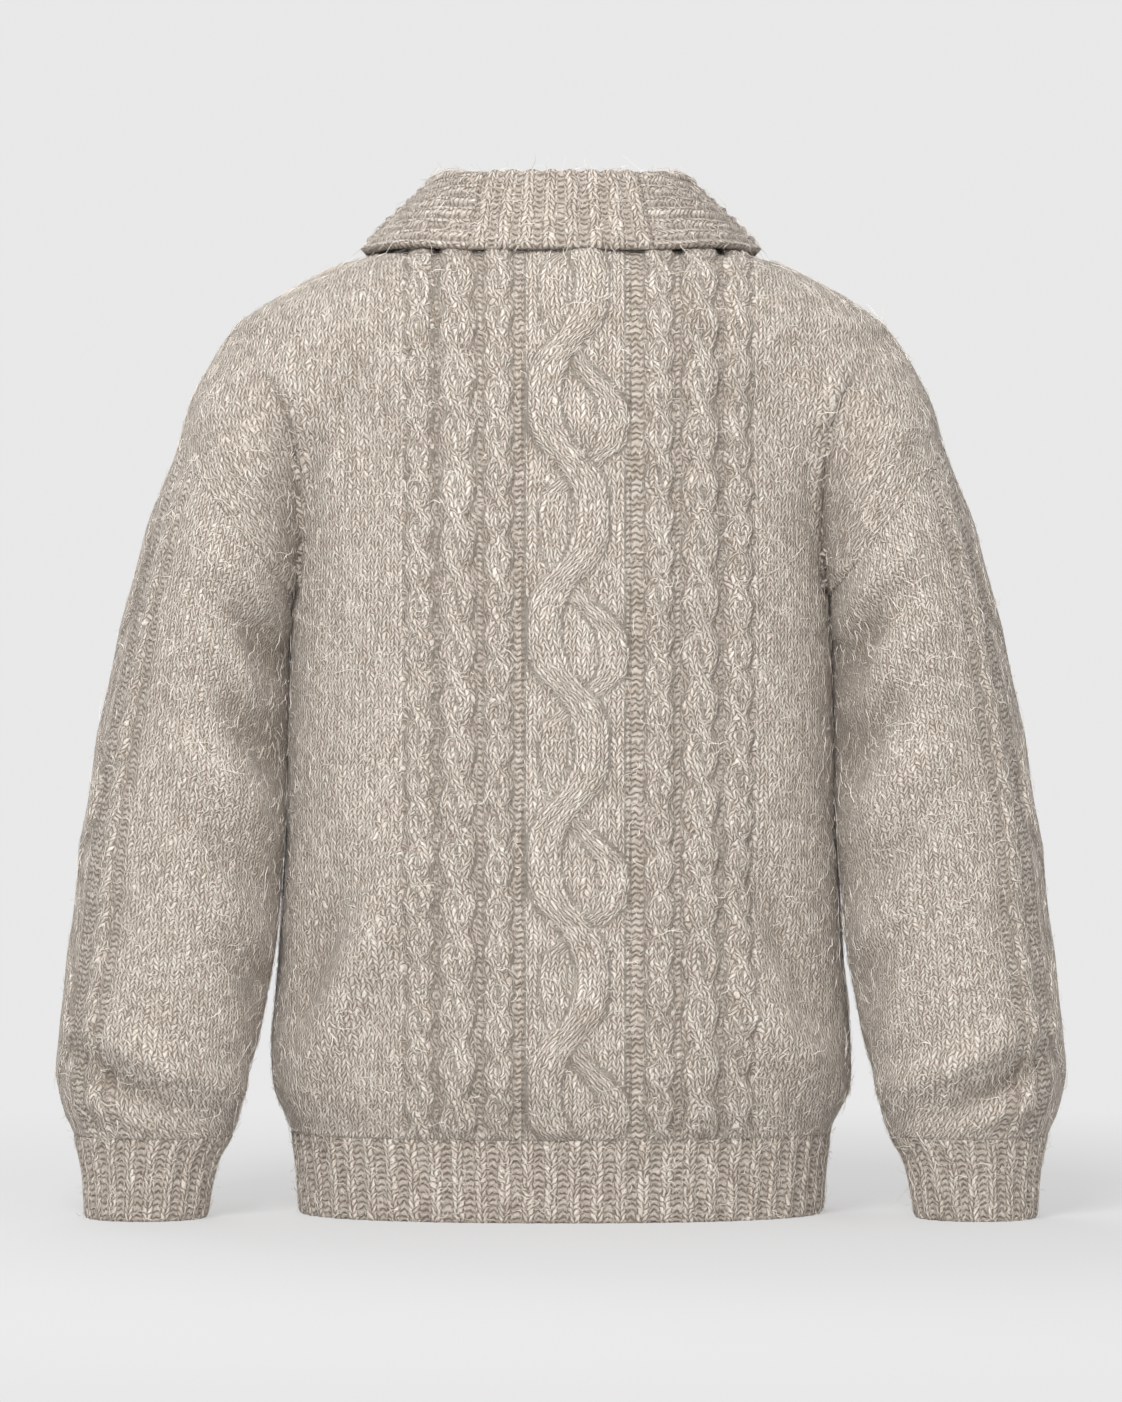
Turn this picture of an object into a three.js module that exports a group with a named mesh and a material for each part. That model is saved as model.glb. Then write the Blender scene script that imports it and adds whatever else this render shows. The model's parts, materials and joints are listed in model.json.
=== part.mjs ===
// Cable knit sweater: a drop-shoulder pullover with a turned-over rib collar, standing hollow on its hem and
// cuffs. Millimetres, +Z up, front towards -Y, back towards +Y, the wearer's left towards +X. The origin is on
// the ground under the middle of the whole garment. Every piece is a closed wall of knit cloth, with its
// cables and ribs raised on the outside over a plain inside, and a narrow gap at each seam.

import * as THREE from "three";

// Driving sizes
const wallThickness = 3;
const collarThickness = 4;
const seamGap = 0.3;
const ribTop = 57;
const neckHeight = 672;
const neckHalf = 90;
const depthShift = 8.6;

// The crease between body and arm: its place, its distance from the side seam at the underarm in cloth, how
// much that grows for each millimetre further down, and its share of the way out on the narrowing shoulder.
const crease = { x: 182, cloth: 34, spread: 0.1, share: 0.62 };

// The armhole is a tilted ellipse from the underarm to the end of the dropped shoulder.
const armhole = { lowX: 187, lowZ: 430, highX: 267, highZ: 533, halfDepth: 85 };

// Half width and half depths of the body at each height. Above the underarm it runs on under the arms.
const torsoRows = [
  { z: 0, half: 181, back: 105, front: 108, power: 2.3 },
  { z: 29, half: 183, back: 106, front: 109, power: 2.3 },
  { z: 57, half: 187, back: 108, front: 111, power: 2.3 },
  { z: 71, half: 192.5, back: 113, front: 116, power: 2.3 },
  { z: 85, half: 198, back: 117, front: 120, power: 2.3 },
  { z: 113, half: 201, back: 120, front: 124, power: 2.3 },
  { z: 183, half: 196, back: 117, front: 122, power: 2.3 },
  { z: 288, half: 190.4, back: 113, front: 120, power: 2.3 },
  { z: 358, half: 188.6, back: 113, front: 121, power: 2.3 },
  { z: 430, half: 187, back: 114, front: 123, power: 2.3 },
  { z: 481, half: 184.5, back: 115.5, front: 124, power: 2.3 },
  { z: 533, half: 186, back: 115, front: 122, power: 2.3 },
  { z: 560, half: 194, back: 114, front: 120, power: 2.25 },
  { z: 589, half: 212, back: 112, front: 117, power: 2.2 },
  { z: 617, half: 228, back: 110, front: 113, power: 2.1 },
  { z: 645, half: 250, back: 103, front: 106, power: 2 },
  { z: 659, half: 260, back: 96, front: 99, power: 2 },
  { z: 667, half: 270, back: 88, front: 92, power: 2 },
  { z: 672, half: 280, back: 72, front: 78, power: 2 },
];

// Outline seen from behind: the sleeve's outer edge, then the slope of the shoulder up to the neck.
const outlineRows = [
  { z: 0, half: 327.5 },
  { z: 29, half: 329.4 },
  { z: 57, half: 335.8 },
  { z: 85, half: 343.7 },
  { z: 99, half: 345.2 },
  { z: 127, half: 343.8 },
  { z: 183, half: 337.7 },
  { z: 239, half: 332.2 },
  { z: 295, half: 323.8 },
  { z: 351, half: 315.5 },
  { z: 407, half: 303.2 },
  { z: 463, half: 288.6 },
  { z: 505, half: 277 },
  { z: 533, half: 267 },
  { z: 561, half: 259 },
  { z: 589, half: 245.7 },
  { z: 603, half: 237 },
  { z: 617, half: 226.5 },
  { z: 631, half: 209 },
  { z: 645, half: 185.5 },
  { z: 659, half: 157.5 },
  { z: 664.5, half: 139 },
  { z: 668, half: 120 },
  { z: 672, half: 90 },
];

// Inner edge of the sleeve, just clear of the body's side.
const innerEdgeRows = [
  { z: 0, half: 246.4 },
  { z: 29, half: 241.4 },
  { z: 43, half: 237 },
  { z: 57, half: 228.5 },
  { z: 71, half: 223.6 },
  { z: 99, half: 217.8 },
  { z: 127, half: 210 },
  { z: 155, half: 205 },
  { z: 183, half: 200.5 },
  { z: 218, half: 197.5 },
  { z: 288, half: 193.5 },
  { z: 358, half: 191.5 },
  { z: 412, half: 189.5 },
  { z: 430, half: 187 },
];

// Roundness of the arm inside the back and front, from the underarm up to where the shoulder takes over.
const armRows = [
  { z: 430, wide: 55, deep: 80 },
  { z: 455, wide: 57, deep: 84 },
  { z: 481, wide: 57, deep: 85 },
  { z: 507, wide: 57, deep: 85 },
  { z: 533, wide: 57, deep: 83 },
  { z: 560, wide: 60, deep: 78 },
  { z: 589, wide: 66, deep: 64 },
  { z: 617, wide: 72, deep: 40 },
  { z: 645, wide: 80, deep: 1 },
];

// Sleeve depth and place along its length, from the armhole at 0 to the cuff seam at 1.
const sleeveRows = [
  { t: 0, centre: 0, deep: 85 },
  { t: 0.15, centre: 5, deep: 83 },
  { t: 0.35, centre: 15, deep: 78 },
  { t: 0.6, centre: 29, deep: 73 },
  { t: 0.8, centre: 39, deep: 70 },
  { t: 0.92, centre: 44, deep: 62 },
  { t: 1, centre: 47, deep: 52 },
];

const cuffRows = [
  { z: 0, centre: 52, deep: 41 },
  { z: 29, centre: 51, deep: 43 },
  { z: 43, centre: 49, deep: 46.5 },
  { z: 57, centre: 47, deep: 52 },
];

// Half width of the front neck opening, a soft V.
const neckRows = [
  { half: 0, z: 560 },
  { half: 25, z: 590 },
  { half: 45, z: 620 },
  { half: 60, z: 645 },
  { half: 70, z: 660 },
  { half: 77, z: 667 },
  { half: 84, z: 670 },
  { half: 90, z: 672 },
];

// Cables on the back, front and sleeves. Places are measured across the knit from the middle of the layout,
// towards the viewer's left. Twisted ropes repeat at their pitch, and lie on both sides of the wave.
const wave = {
  halfWidth: 36, middle: 3.5, swing: 16.4, sharpness: 1.2, strand: 12, period: 157.8, leftAt: 407, rise: 5.4,
};
const waveField = { middle: 0.5, halfWidth: 31, share: 0.36 };
const ropes = [
  { centre: 56, halfWidth: 9, pitch: 25, rise: 3.6, lines: [-9, -3.6, 3.6, 9] },
  { centre: 82, halfWidth: 12.5, pitch: 34, rise: 4.2, lines: [-12.5, -5.5, 0, 5.5, 12.5] },
  { centre: 109, halfWidth: 8.5, pitch: 25, rise: 3.4, lines: [-8.5, -3.4, 3.4, 8.5] },
];
// Place of the wave's back strand from the middle of the field, over one turn downwards.
const underRows = [
  { turn: 0, across: -21 },
  { turn: 0.1, across: -24 },
  { turn: 0.2, across: -21 },
  { turn: 0.3, across: -4 },
  { turn: 0.4, across: 15 },
  { turn: 0.5, across: 17 },
  { turn: 0.64, across: 15 },
  { turn: 0.75, across: 10 },
  { turn: 0.85, across: 1 },
  { turn: 0.93, across: -12 },
  { turn: 1, across: -21 },
];
const underShare = 0.62;
const plainRise = 1.2;
const cableZone = 126;

// Cables flatten over this stretch of cloth below a panel's top, and slopes are measured over a small step.
const cableFade = { from: 4, to: 44 };
const slopeStep = 0.5;
const waveLines = [-36, -27, -18, -9, 0, 9, 18, 27, 36];
const waveRowStep = 17;

// The two large panels: on the back the whole layout sits a little to the viewer's right.
const backFace = { name: "back", sign: 1, layoutCentre: -12.3, waveCentre: 4, depth: "back" };
const frontFace = { name: "front", sign: -1, layoutCentre: 0, waveCentre: 0, depth: "front" };

// Largest soft folds of each panel, as ridges that follow a bent line, with x in the viewer's direction.
const panelFolds = {
  back: [
    { line: [[114, 247], [132, 185], [159, 130], [180, 96]], width: 15, rise: 5 },
    { line: [[152, 234], [166, 178], [180, 137]], width: 11, rise: -1.6 },
    { line: [[-123, 165], [-151, 123], [-186, 92]], width: 15, rise: 5 },
    { line: [[-130, 254], [-158, 178], [-179, 137]], width: 12, rise: -1.6 },
    { line: [[228, 606], [201, 578], [187, 544], [179, 516]], width: 13, rise: 5 },
    { line: [[-230, 600], [-203, 572], [-189, 540], [-180, 505]], width: 14, rise: 4.5 },
  ],
  front: [
    { line: [[118, 236], [137, 180], [165, 118]], width: 15, rise: 5 },
    { line: [[-120, 210], [-146, 150], [-183, 98]], width: 15, rise: 5 },
    { line: [[225, 602], [199, 570], [186, 530]], width: 14, rise: 4.5 },
    { line: [[-226, 608], [-200, 580], [-186, 548]], width: 13, rise: 5 },
  ],
};

// Sleeve folds: x is the distance from the garment's middle plane, side is 1 on the back half of the sleeve.
const sleeveFolds = [
  { line: [[252, 452], [222, 405], [200, 368]], width: 16, rise: 4.5, side: 1 },
  { line: [[311, 130], [249, 97], [223, 89]], width: 13, rise: 4.5, side: 1 },
  { line: [[262, 330], [225, 292], [200, 268]], width: 15, rise: 3.5, side: 1 },
  { line: [[250, 446], [224, 398], [204, 350]], width: 16, rise: 4.5, side: -1 },
  { line: [[308, 122], [252, 100], [224, 92]], width: 13, rise: 4.5, side: -1 },
];

// Turned-over collar, half of it, from the middle of the back to the bottom of the front opening. fold is the
// top of the turn and edge the free lower edge.
const collarBackRows = [
  { x: 0, foldX: 0, foldY: 71, foldZ: 719.5, edgeX: 0, edgeY: 99, edgeZ: 667 },
  { x: 52, foldX: 51, foldY: 58, foldZ: 720, edgeX: 64, edgeY: 87, edgeZ: 667.5 },
  { x: 80, foldX: 77, foldY: 31, foldZ: 720.5, edgeX: 113, edgeY: 56, edgeZ: 671 },
  { x: 90, foldX: 88, foldY: -2, foldZ: 720, edgeX: 138, edgeY: 0, edgeZ: 671 },
];
const collarFrontRows = [
  { x: 0, foldX: 0, foldY: -132, foldZ: 580, edgeX: 0, edgeY: -135, edgeZ: 508 },
  { x: 22, foldX: 21, foldY: -130, foldZ: 607, edgeX: 40, edgeY: -133, edgeZ: 542 },
  { x: 45, foldX: 42, foldY: -122, foldZ: 640, edgeX: 80, edgeY: -124, edgeZ: 584 },
  { x: 60, foldX: 57, foldY: -113, foldZ: 666, edgeX: 106, edgeY: -115, edgeZ: 620 },
  { x: 70, foldX: 68, foldY: -99, foldZ: 688, edgeX: 122, edgeY: -96, edgeZ: 648 },
  { x: 77, foldX: 76, foldY: -80, foldZ: 702, edgeX: 130, edgeY: -70, edgeZ: 662 },
  { x: 84, foldX: 84, foldY: -48, foldZ: 714, edgeX: 136, edgeY: -36, edgeZ: 670 },
  { x: 90, foldX: 88, foldY: -2, foldZ: 720, edgeX: 138, edgeY: 0, edgeZ: 671 },
];
const collarSeamX = 52;
const collarRibRise = 1.8;
const foldGap = 5.5;

const hemRibs = 60;
const cuffRibs = 21;
const ribRise = 2.4;

const knitColour = "#bdb3a9";
const ribColour = "#b0a69b";

// Curves through the tables

/** Smooth curve through table rows that never swings past them. The rows' keys grow. */
function curveThrough(rows, key, value) {
  const keys = rows.map((row) => row[key]);
  const values = rows.map((row) => row[value]);
  const last = keys.length - 1;
  const slopes = keys.slice(1).map((k, i) => (values[i + 1] - values[i]) / (k - keys[i]));
  const tangents = keys.map((_, i) => {
    if (i === 0) return slopes[0];
    if (i === last) return slopes[last - 1];
    const product = slopes[i - 1] * slopes[i];
    return product <= 0 ? 0 : (2 * product) / (slopes[i - 1] + slopes[i]);
  });
  return (at) => {
    const k = Math.min(Math.max(at, keys[0]), keys[last]);
    let i = 0;
    while (i < last - 1 && k > keys[i + 1]) i += 1;
    const span = keys[i + 1] - keys[i];
    const u = (k - keys[i]) / span;
    const rise = u * u * (3 - 2 * u);
    const leave = u * (1 - u) * (1 - u) * span * tangents[i];
    const arrive = -u * u * (1 - u) * span * tangents[i + 1];
    return values[i] * (1 - rise) + values[i + 1] * rise + leave + arrive;
  };
}

const torso = {
  half: curveThrough(torsoRows, "z", "half"),
  back: curveThrough(torsoRows, "z", "back"),
  front: curveThrough(torsoRows, "z", "front"),
  power: curveThrough(torsoRows, "z", "power"),
};
const outline = curveThrough(outlineRows, "z", "half");
const innerEdge = curveThrough(innerEdgeRows, "z", "half");
const armWide = curveThrough(armRows, "z", "wide");
const armDeep = curveThrough(armRows, "z", "deep");
const sleeveCentre = curveThrough(sleeveRows, "t", "centre");
const sleeveDeep = curveThrough(sleeveRows, "t", "deep");
const cuffCentre = curveThrough(cuffRows, "z", "centre");
const cuffDeep = curveThrough(cuffRows, "z", "deep");
const neckLine = curveThrough(neckRows, "half", "z");
const underPlace = curveThrough(underRows, "turn", "across");

function smoothStep(low, high, value) {
  const u = Math.min(Math.max((value - low) / (high - low), 0), 1);
  return u * u * (3 - 2 * u);
}

/** Height at which the shoulder's outline is as wide as x, found by halving. */
function shoulderHeight(x) {
  let low = armhole.highZ;
  let high = neckHeight;
  for (let step = 0; step < 30; step += 1) {
    const middle = (low + high) / 2;
    if (outline(middle) > x) low = middle;
    else high = middle;
  }
  return low;
}

/** Distance from a point to a bent line, with how far along the line it lies, from 0 to 1. */
function distanceToLine(x, z, line) {
  const lengths = line.slice(1).map(([bx, bz], i) => Math.hypot(bx - line[i][0], bz - line[i][1]));
  const total = lengths.reduce((sum, length) => sum + length, 0);
  let nearest = { distance: Infinity, along: 0 };
  let before = 0;
  for (let i = 0; i < lengths.length; i += 1) {
    const [ax, az] = line[i];
    const [bx, bz] = line[i + 1];
    const raw = ((x - ax) * (bx - ax) + (z - az) * (bz - az)) / lengths[i] ** 2;
    const share = Math.min(Math.max(raw, 0), 1);
    const distance = Math.hypot(x - ax - share * (bx - ax), z - az - share * (bz - az));
    if (distance < nearest.distance) nearest = { distance, along: (before + share * lengths[i]) / total };
    before += lengths[i];
  }
  return nearest;
}

/** Rise of a list of folds at a point: a soft bump across each line that fades at the line's ends. */
function foldRise(x, z, folds) {
  return folds.reduce((sum, fold) => {
    const { distance, along } = distanceToLine(x, z, fold.line);
    const fade = 0.35 + 0.65 * Math.sin(Math.PI * along);
    return sum + fold.rise * fade * Math.exp(-((distance / fold.width) ** 2));
  }, 0);
}

// Cables

/** Rise of a two-strand rope: slanting lobes, highest along the rope's middle. */
function ropeRise(rope, across, along) {
  const offset = across / rope.halfWidth;
  if (Math.abs(offset) >= 1) return 0;
  const dome = Math.sqrt(1 - offset * offset);
  const lobe = Math.abs(Math.cos(Math.PI * (along / rope.pitch - 0.45 * offset)));
  return rope.rise * dome * (0.45 + 0.55 * Math.sqrt(lobe));
}

/**
 * Rise of the wave cable, the highest of three layers: a front strand that swings from side to side and crosses
 * quickly, a back strand that follows its own path under it, and a low field between their bends.
 */
function waveRise(across, along) {
  const turn = (wave.leftAt - along) / wave.period;
  const bend = Math.tanh(wave.sharpness * Math.cos(2 * Math.PI * turn)) / Math.tanh(wave.sharpness);
  const dome = (centre, halfWidth, high) => {
    const offset = (across - centre) / halfWidth;
    return Math.abs(offset) < 1 ? high * Math.sqrt(1 - offset * offset) : 0;
  };
  return Math.max(
    dome(wave.middle + wave.swing * bend, wave.strand, wave.rise),
    dome(waveField.middle + underPlace(turn - Math.floor(turn)), wave.strand, wave.rise * underShare),
    dome(waveField.middle, waveField.halfWidth, wave.rise * waveField.share),
  );
}

/** Rise of the whole cable layout at a place across the knit and along it. */
function cableRise(across, along, face) {
  const fromWave = across - face.waveCentre;
  if (Math.abs(fromWave) < wave.halfWidth) return waveRise(fromWave, along);
  if (Math.abs(across) >= cableZone) return plainRise;
  const rope = ropes.find(({ centre, halfWidth }) => Math.abs(Math.abs(across) - centre) < halfWidth);
  return rope ? ropeRise(rope, across - Math.sign(across) * rope.centre, along) : 0;
}

// Form of the back and front

function armholeEdge(z) {
  const share = (z - armhole.lowZ) / (armhole.highZ - armhole.lowZ);
  const turn = 2 * share - 1;
  return {
    x: armhole.lowX + share * (armhole.highX - armhole.lowX),
    depth: armhole.halfDepth * Math.sqrt(Math.max(0, 1 - turn * turn)),
    share,
  };
}

/** Half width of a panel at a height: side seam, then armhole, then shoulder. */
function panelHalf(z) {
  if (z <= armhole.lowZ) return torso.half(z);
  if (z < armhole.highZ) return armholeEdge(z).x;
  return outline(z);
}

/** Depth of the body and the arm inside a panel, joined by a soft crease. */
function roundDepth(x, z, face) {
  const half = Math.min(torso.half(z), outline(z));
  const power = torso.power(z);
  const body = x < half ? torso[face.depth](z) * (1 - (x / half) ** power) ** (1 / power) : 0;
  if (z <= armhole.lowZ) return body;
  const offset = (x - outline(z) + armWide(z)) / armWide(z);
  const arm = Math.abs(offset) < 1 ? armDeep(z) * Math.sqrt(1 - offset * offset) : 0;
  return (body ** 4 + arm ** 4) ** 0.25;
}

/** Depth of a panel's plain surface in front of or behind the garment's middle plane. */
function panelDepth(x, z, face) {
  const reach = Math.abs(x);
  const plain = roundDepth(reach, z, face);
  if (z <= armhole.lowZ || z >= armhole.highZ) return plain;
  const edge = armholeEdge(z);
  const width = Math.max(2, (30 * edge.depth) / armhole.halfDepth);
  const pull = smoothStep(edge.x - width, edge.x, reach);
  const level = plain * (1 - pull) + edge.depth * pull;
  const atEdge = roundDepth(edge.x, z, face);
  const scaled = atEdge > 0 ? plain * (1 + pull * (edge.depth / atEdge - 1)) : plain;
  const high = smoothStep(0.35, 0.65, edge.share);
  return level * (1 - high) + scaled * high;
}

function panelPoint(x, z, face) {
  return new THREE.Vector3(x, face.sign * panelDepth(x, z, face), z);
}

/** Outward direction of a panel's plain surface, from its slope across and up. */
function panelNormal(x, z, face) {
  const step = slopeStep;
  const slopeX = (panelDepth(x + step, z, face) - panelDepth(x - step, z, face)) / (2 * step);
  const slopeZ = (panelDepth(x, z + step, face) - panelDepth(x, z - step, face)) / (2 * step);
  return new THREE.Vector3(-slopeX, face.sign, -slopeZ).normalize();
}

// Building closed walls

/** Gathers points and triangles of one closed wall. */
class Wall {
  constructor() {
    this.points = [];
    this.faces = [];
  }

  line(vectors, keys) {
    const first = this.points.length;
    this.points.push(...vectors);
    return { ids: vectors.map((_, i) => first + i), keys };
  }

  /**
   * Whether the left line steps first: its next key is nearer, or with level keys its diagonal is shorter.
   * Beside a seam's edge line the other line steps first, which keeps the wall behind the seam.
   */
  leftFirst(left, right, i, j) {
    if (i === left.ids.length - 1) return false;
    if (j === right.ids.length - 1) return true;
    const leftSpan = Math.abs(left.keys[i + 1] - right.keys[j]);
    const rightSpan = Math.abs(right.keys[j + 1] - left.keys[i]);
    if (Math.abs(leftSpan - rightSpan) > 1e-6) return leftSpan < rightSpan;
    if (left.edge || right.edge) return right.edge;
    const reach = (a, b) => this.points[a].distanceTo(this.points[b]);
    return reach(left.ids[i + 1], right.ids[j]) <= reach(left.ids[i], right.ids[j + 1]);
  }

  /** Fills the band between two lines, left and right as seen from outside. */
  join(left, right) {
    let i = 0;
    let j = 0;
    while (i < left.ids.length - 1 || j < right.ids.length - 1) {
      if (this.leftFirst(left, right, i, j)) {
        this.triangle(left.ids[i], right.ids[j], left.ids[i + 1]);
        i += 1;
      } else {
        this.triangle(left.ids[i], right.ids[j], right.ids[j + 1]);
        j += 1;
      }
    }
  }

  triangle(a, b, c) {
    if (a !== b && b !== c && c !== a) this.faces.push(a, b, c);
  }

  /** Outer and inner columns run from bottom to top, ordered from left to right as seen from outside. */
  fill(outer, inner, closedRound) {
    const last = (columns) => (closedRound ? columns.length : columns.length - 1);
    for (let i = 0; i < last(outer); i += 1) this.join(outer[i], outer[(i + 1) % outer.length]);
    for (let i = 0; i < last(inner); i += 1) this.join(inner[(i + 1) % inner.length], inner[i]);
    const ends = (columns, end) => {
      const ids = columns.map((column) => column.ids.at(end));
      const keys = columns.map((column) => column.place);
      if (closedRound) {
        ids.push(ids[0]);
        keys.push(keys[0] + 1);
      }
      return { ids, keys };
    };
    this.join(ends(outer, 0), ends(inner, 0));
    this.join(ends(inner, -1), ends(outer, -1));
    if (!closedRound) {
      this.join(inner[0], outer[0]);
      this.join(outer.at(-1), inner.at(-1));
    }
  }

  mesh(name, colour, mirrored = false) {
    const flip = mirrored ? -1 : 1;
    const place = this.points.flatMap((v) => [flip * v.x, v.y + depthShift, v.z]);
    const faces = [...this.faces];
    if (mirrored) {
      for (let i = 0; i < faces.length; i += 3) [faces[i], faces[i + 1]] = [faces[i + 1], faces[i]];
    }
    const geometry = new THREE.BufferGeometry();
    geometry.setAttribute("position", new THREE.Float32BufferAttribute(place, 3));
    geometry.setIndex(faces);
    geometry.computeVertexNormals();
    const mesh = new THREE.Mesh(
      geometry,
      new THREE.MeshStandardMaterial({ color: colour, roughness: 0.95, metalness: 0 }),
    );
    mesh.name = name;
    return mesh;
  }
}

/** Places along a finely sampled path at the given distances from its start. */
function alongPath(samples, distances) {
  const lengths = [0];
  for (let i = 1; i < samples.length; i += 1) {
    lengths.push(lengths[i - 1] + samples[i].point.distanceTo(samples[i - 1].point));
  }
  return distances.map((distance) => {
    let i = 1;
    while (i < samples.length - 1 && lengths[i] < distance) i += 1;
    const share = (distance - lengths[i - 1]) / (lengths[i] - lengths[i - 1]);
    return samples[i - 1].at + share * (samples[i].at - samples[i - 1].at);
  });
}

function pathLength(samples) {
  return samples.slice(1).reduce((sum, { point }, i) => sum + point.distanceTo(samples[i].point), 0);
}

const panelFoot = ribTop + seamGap / 2;
const sideEnd = 2;

/** Heights at even steps of cloth up a panel at a fixed x, from the rib to the panel's top. */
function columnHeights(x, top, face, step) {
  const samples = Array.from({ length: 241 }, (_, i) => {
    const at = panelFoot + (top - panelFoot) * Math.sin((Math.PI / 2) * (i / 240));
    return { at, point: panelPoint(x, at, face) };
  });
  const total = pathLength(samples);
  const count = Math.round(total / step);
  const heights = alongPath(samples, Array.from({ length: count + 1 }, (_, i) => (total * i) / count));
  heights[0] = panelFoot;
  heights[count] = top;
  return { heights, cloth: heights.map((_, i) => (total * i) / count) };
}

/** Fine samples across a panel at one height, closer together towards the steep outer end. */
function stripSamples(from, to, z, face) {
  return Array.from({ length: 61 }, (_, i) => {
    const at = from + (to - from) * Math.sin((Math.PI / 2) * (i / 60));
    return { at, point: panelPoint(at, z, face) };
  });
}

/** Place of the column that follows the crease: a length of cloth from the side seam, then the crease itself. */
function creasePlace(z, inside, face) {
  const outside = panelHalf(z);
  if (z > armhole.highZ) return Math.min(crease.x, inside + crease.share * (outside - inside));
  if (z > armhole.lowZ) return crease.x;
  const samples = stripSamples(inside, outside, z, face);
  const fromSeam = crease.cloth + crease.spread * (armhole.lowZ - z);
  return alongPath(samples, [pathLength(samples) - fromSeam])[0];
}

/** Places across a panel's side zone at one height: shares up to 1 reach the crease, and up to 2 the edge. */
function sideStations(z, inside, face, shares) {
  const outside = panelHalf(z);
  const middle = creasePlace(z, inside, face);
  const near = stripSamples(inside, middle, z, face);
  const far = stripSamples(middle, outside, z, face);
  return shares.map((share) => {
    if (share === sideEnd) return outside;
    const samples = share > 1 ? far : near;
    return alongPath(samples, [(share > 1 ? share - 1 : share) * pathLength(samples)])[0];
  });
}

const armholeNormal = new THREE.Vector3(
  armhole.lowZ - armhole.highZ, 0, armhole.highX - armhole.lowX,
).normalize();
const armholeUp = new THREE.Vector3(
  armhole.highX - armhole.lowX, 0, armhole.highZ - armhole.lowZ,
).normalize();
const armholeMiddle = new THREE.Vector3(
  (armhole.lowX + armhole.highX) / 2, 0, (armhole.lowZ + armhole.highZ) / 2,
);

/** Moves a point in the armhole's rows back behind the seam's plane by half the seam gap. */
function behindArmhole(point, z) {
  if (z < armhole.lowZ || z > armhole.highZ) return point;
  const fromMiddle = new THREE.Vector3(Math.abs(point.x), 0, point.z).sub(armholeMiddle);
  const lack = Math.max(0, seamGap / 2 - fromMiddle.dot(armholeNormal));
  point.x += Math.sign(point.x) * lack * armholeNormal.x;
  point.z += lack * armholeNormal.z;
  return point;
}

/** Outer point of a panel's side edge and the direction into the wall there, on the +X side. */
function panelEdge(z, face) {
  const outer = panelPoint(panelHalf(z), z, face);
  outer.y = face.sign * Math.max(seamGap / 2, Math.abs(outer.y));
  if (z > armhole.lowZ - 1 && z < armhole.highZ + 1) {
    outer.addScaledVector(armholeNormal, seamGap / 2);
    const inward = armholeMiddle.clone().sub(outer);
    inward.addScaledVector(armholeNormal, -inward.dot(armholeNormal)).normalize();
    const corner = Math.abs(outer.y) < 1;
    if (corner) inward.add(new THREE.Vector3(-1, 0, 0)).normalize();
    return { outer, inward };
  }
  const slope = (panelHalf(z + slopeStep) - panelHalf(z - slopeStep)) / (2 * slopeStep);
  return { outer, inward: new THREE.Vector3(-1, 0, slope).normalize() };
}

const sideHeights = [
  ...[0, 0.05, 0.1, 0.16, 0.24, 0.34, 0.46, 0.6, 0.74, 0.87, 0.95]
    .map((share) => panelFoot + share * (armhole.lowZ - panelFoot)),
  ...Array.from({ length: 9 }, (_, i) => {
    const middle = (armhole.lowZ + armhole.highZ) / 2;
    return middle - ((armhole.highZ - armhole.lowZ) / 2) * Math.cos((Math.PI * i) / 8);
  }),
  545, 560, 576, 592, 607, 621, 634, 646, 657,
];

const underarmRow = sideHeights.findIndex((z) => Math.abs(z - armhole.lowZ) < slopeStep);

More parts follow.
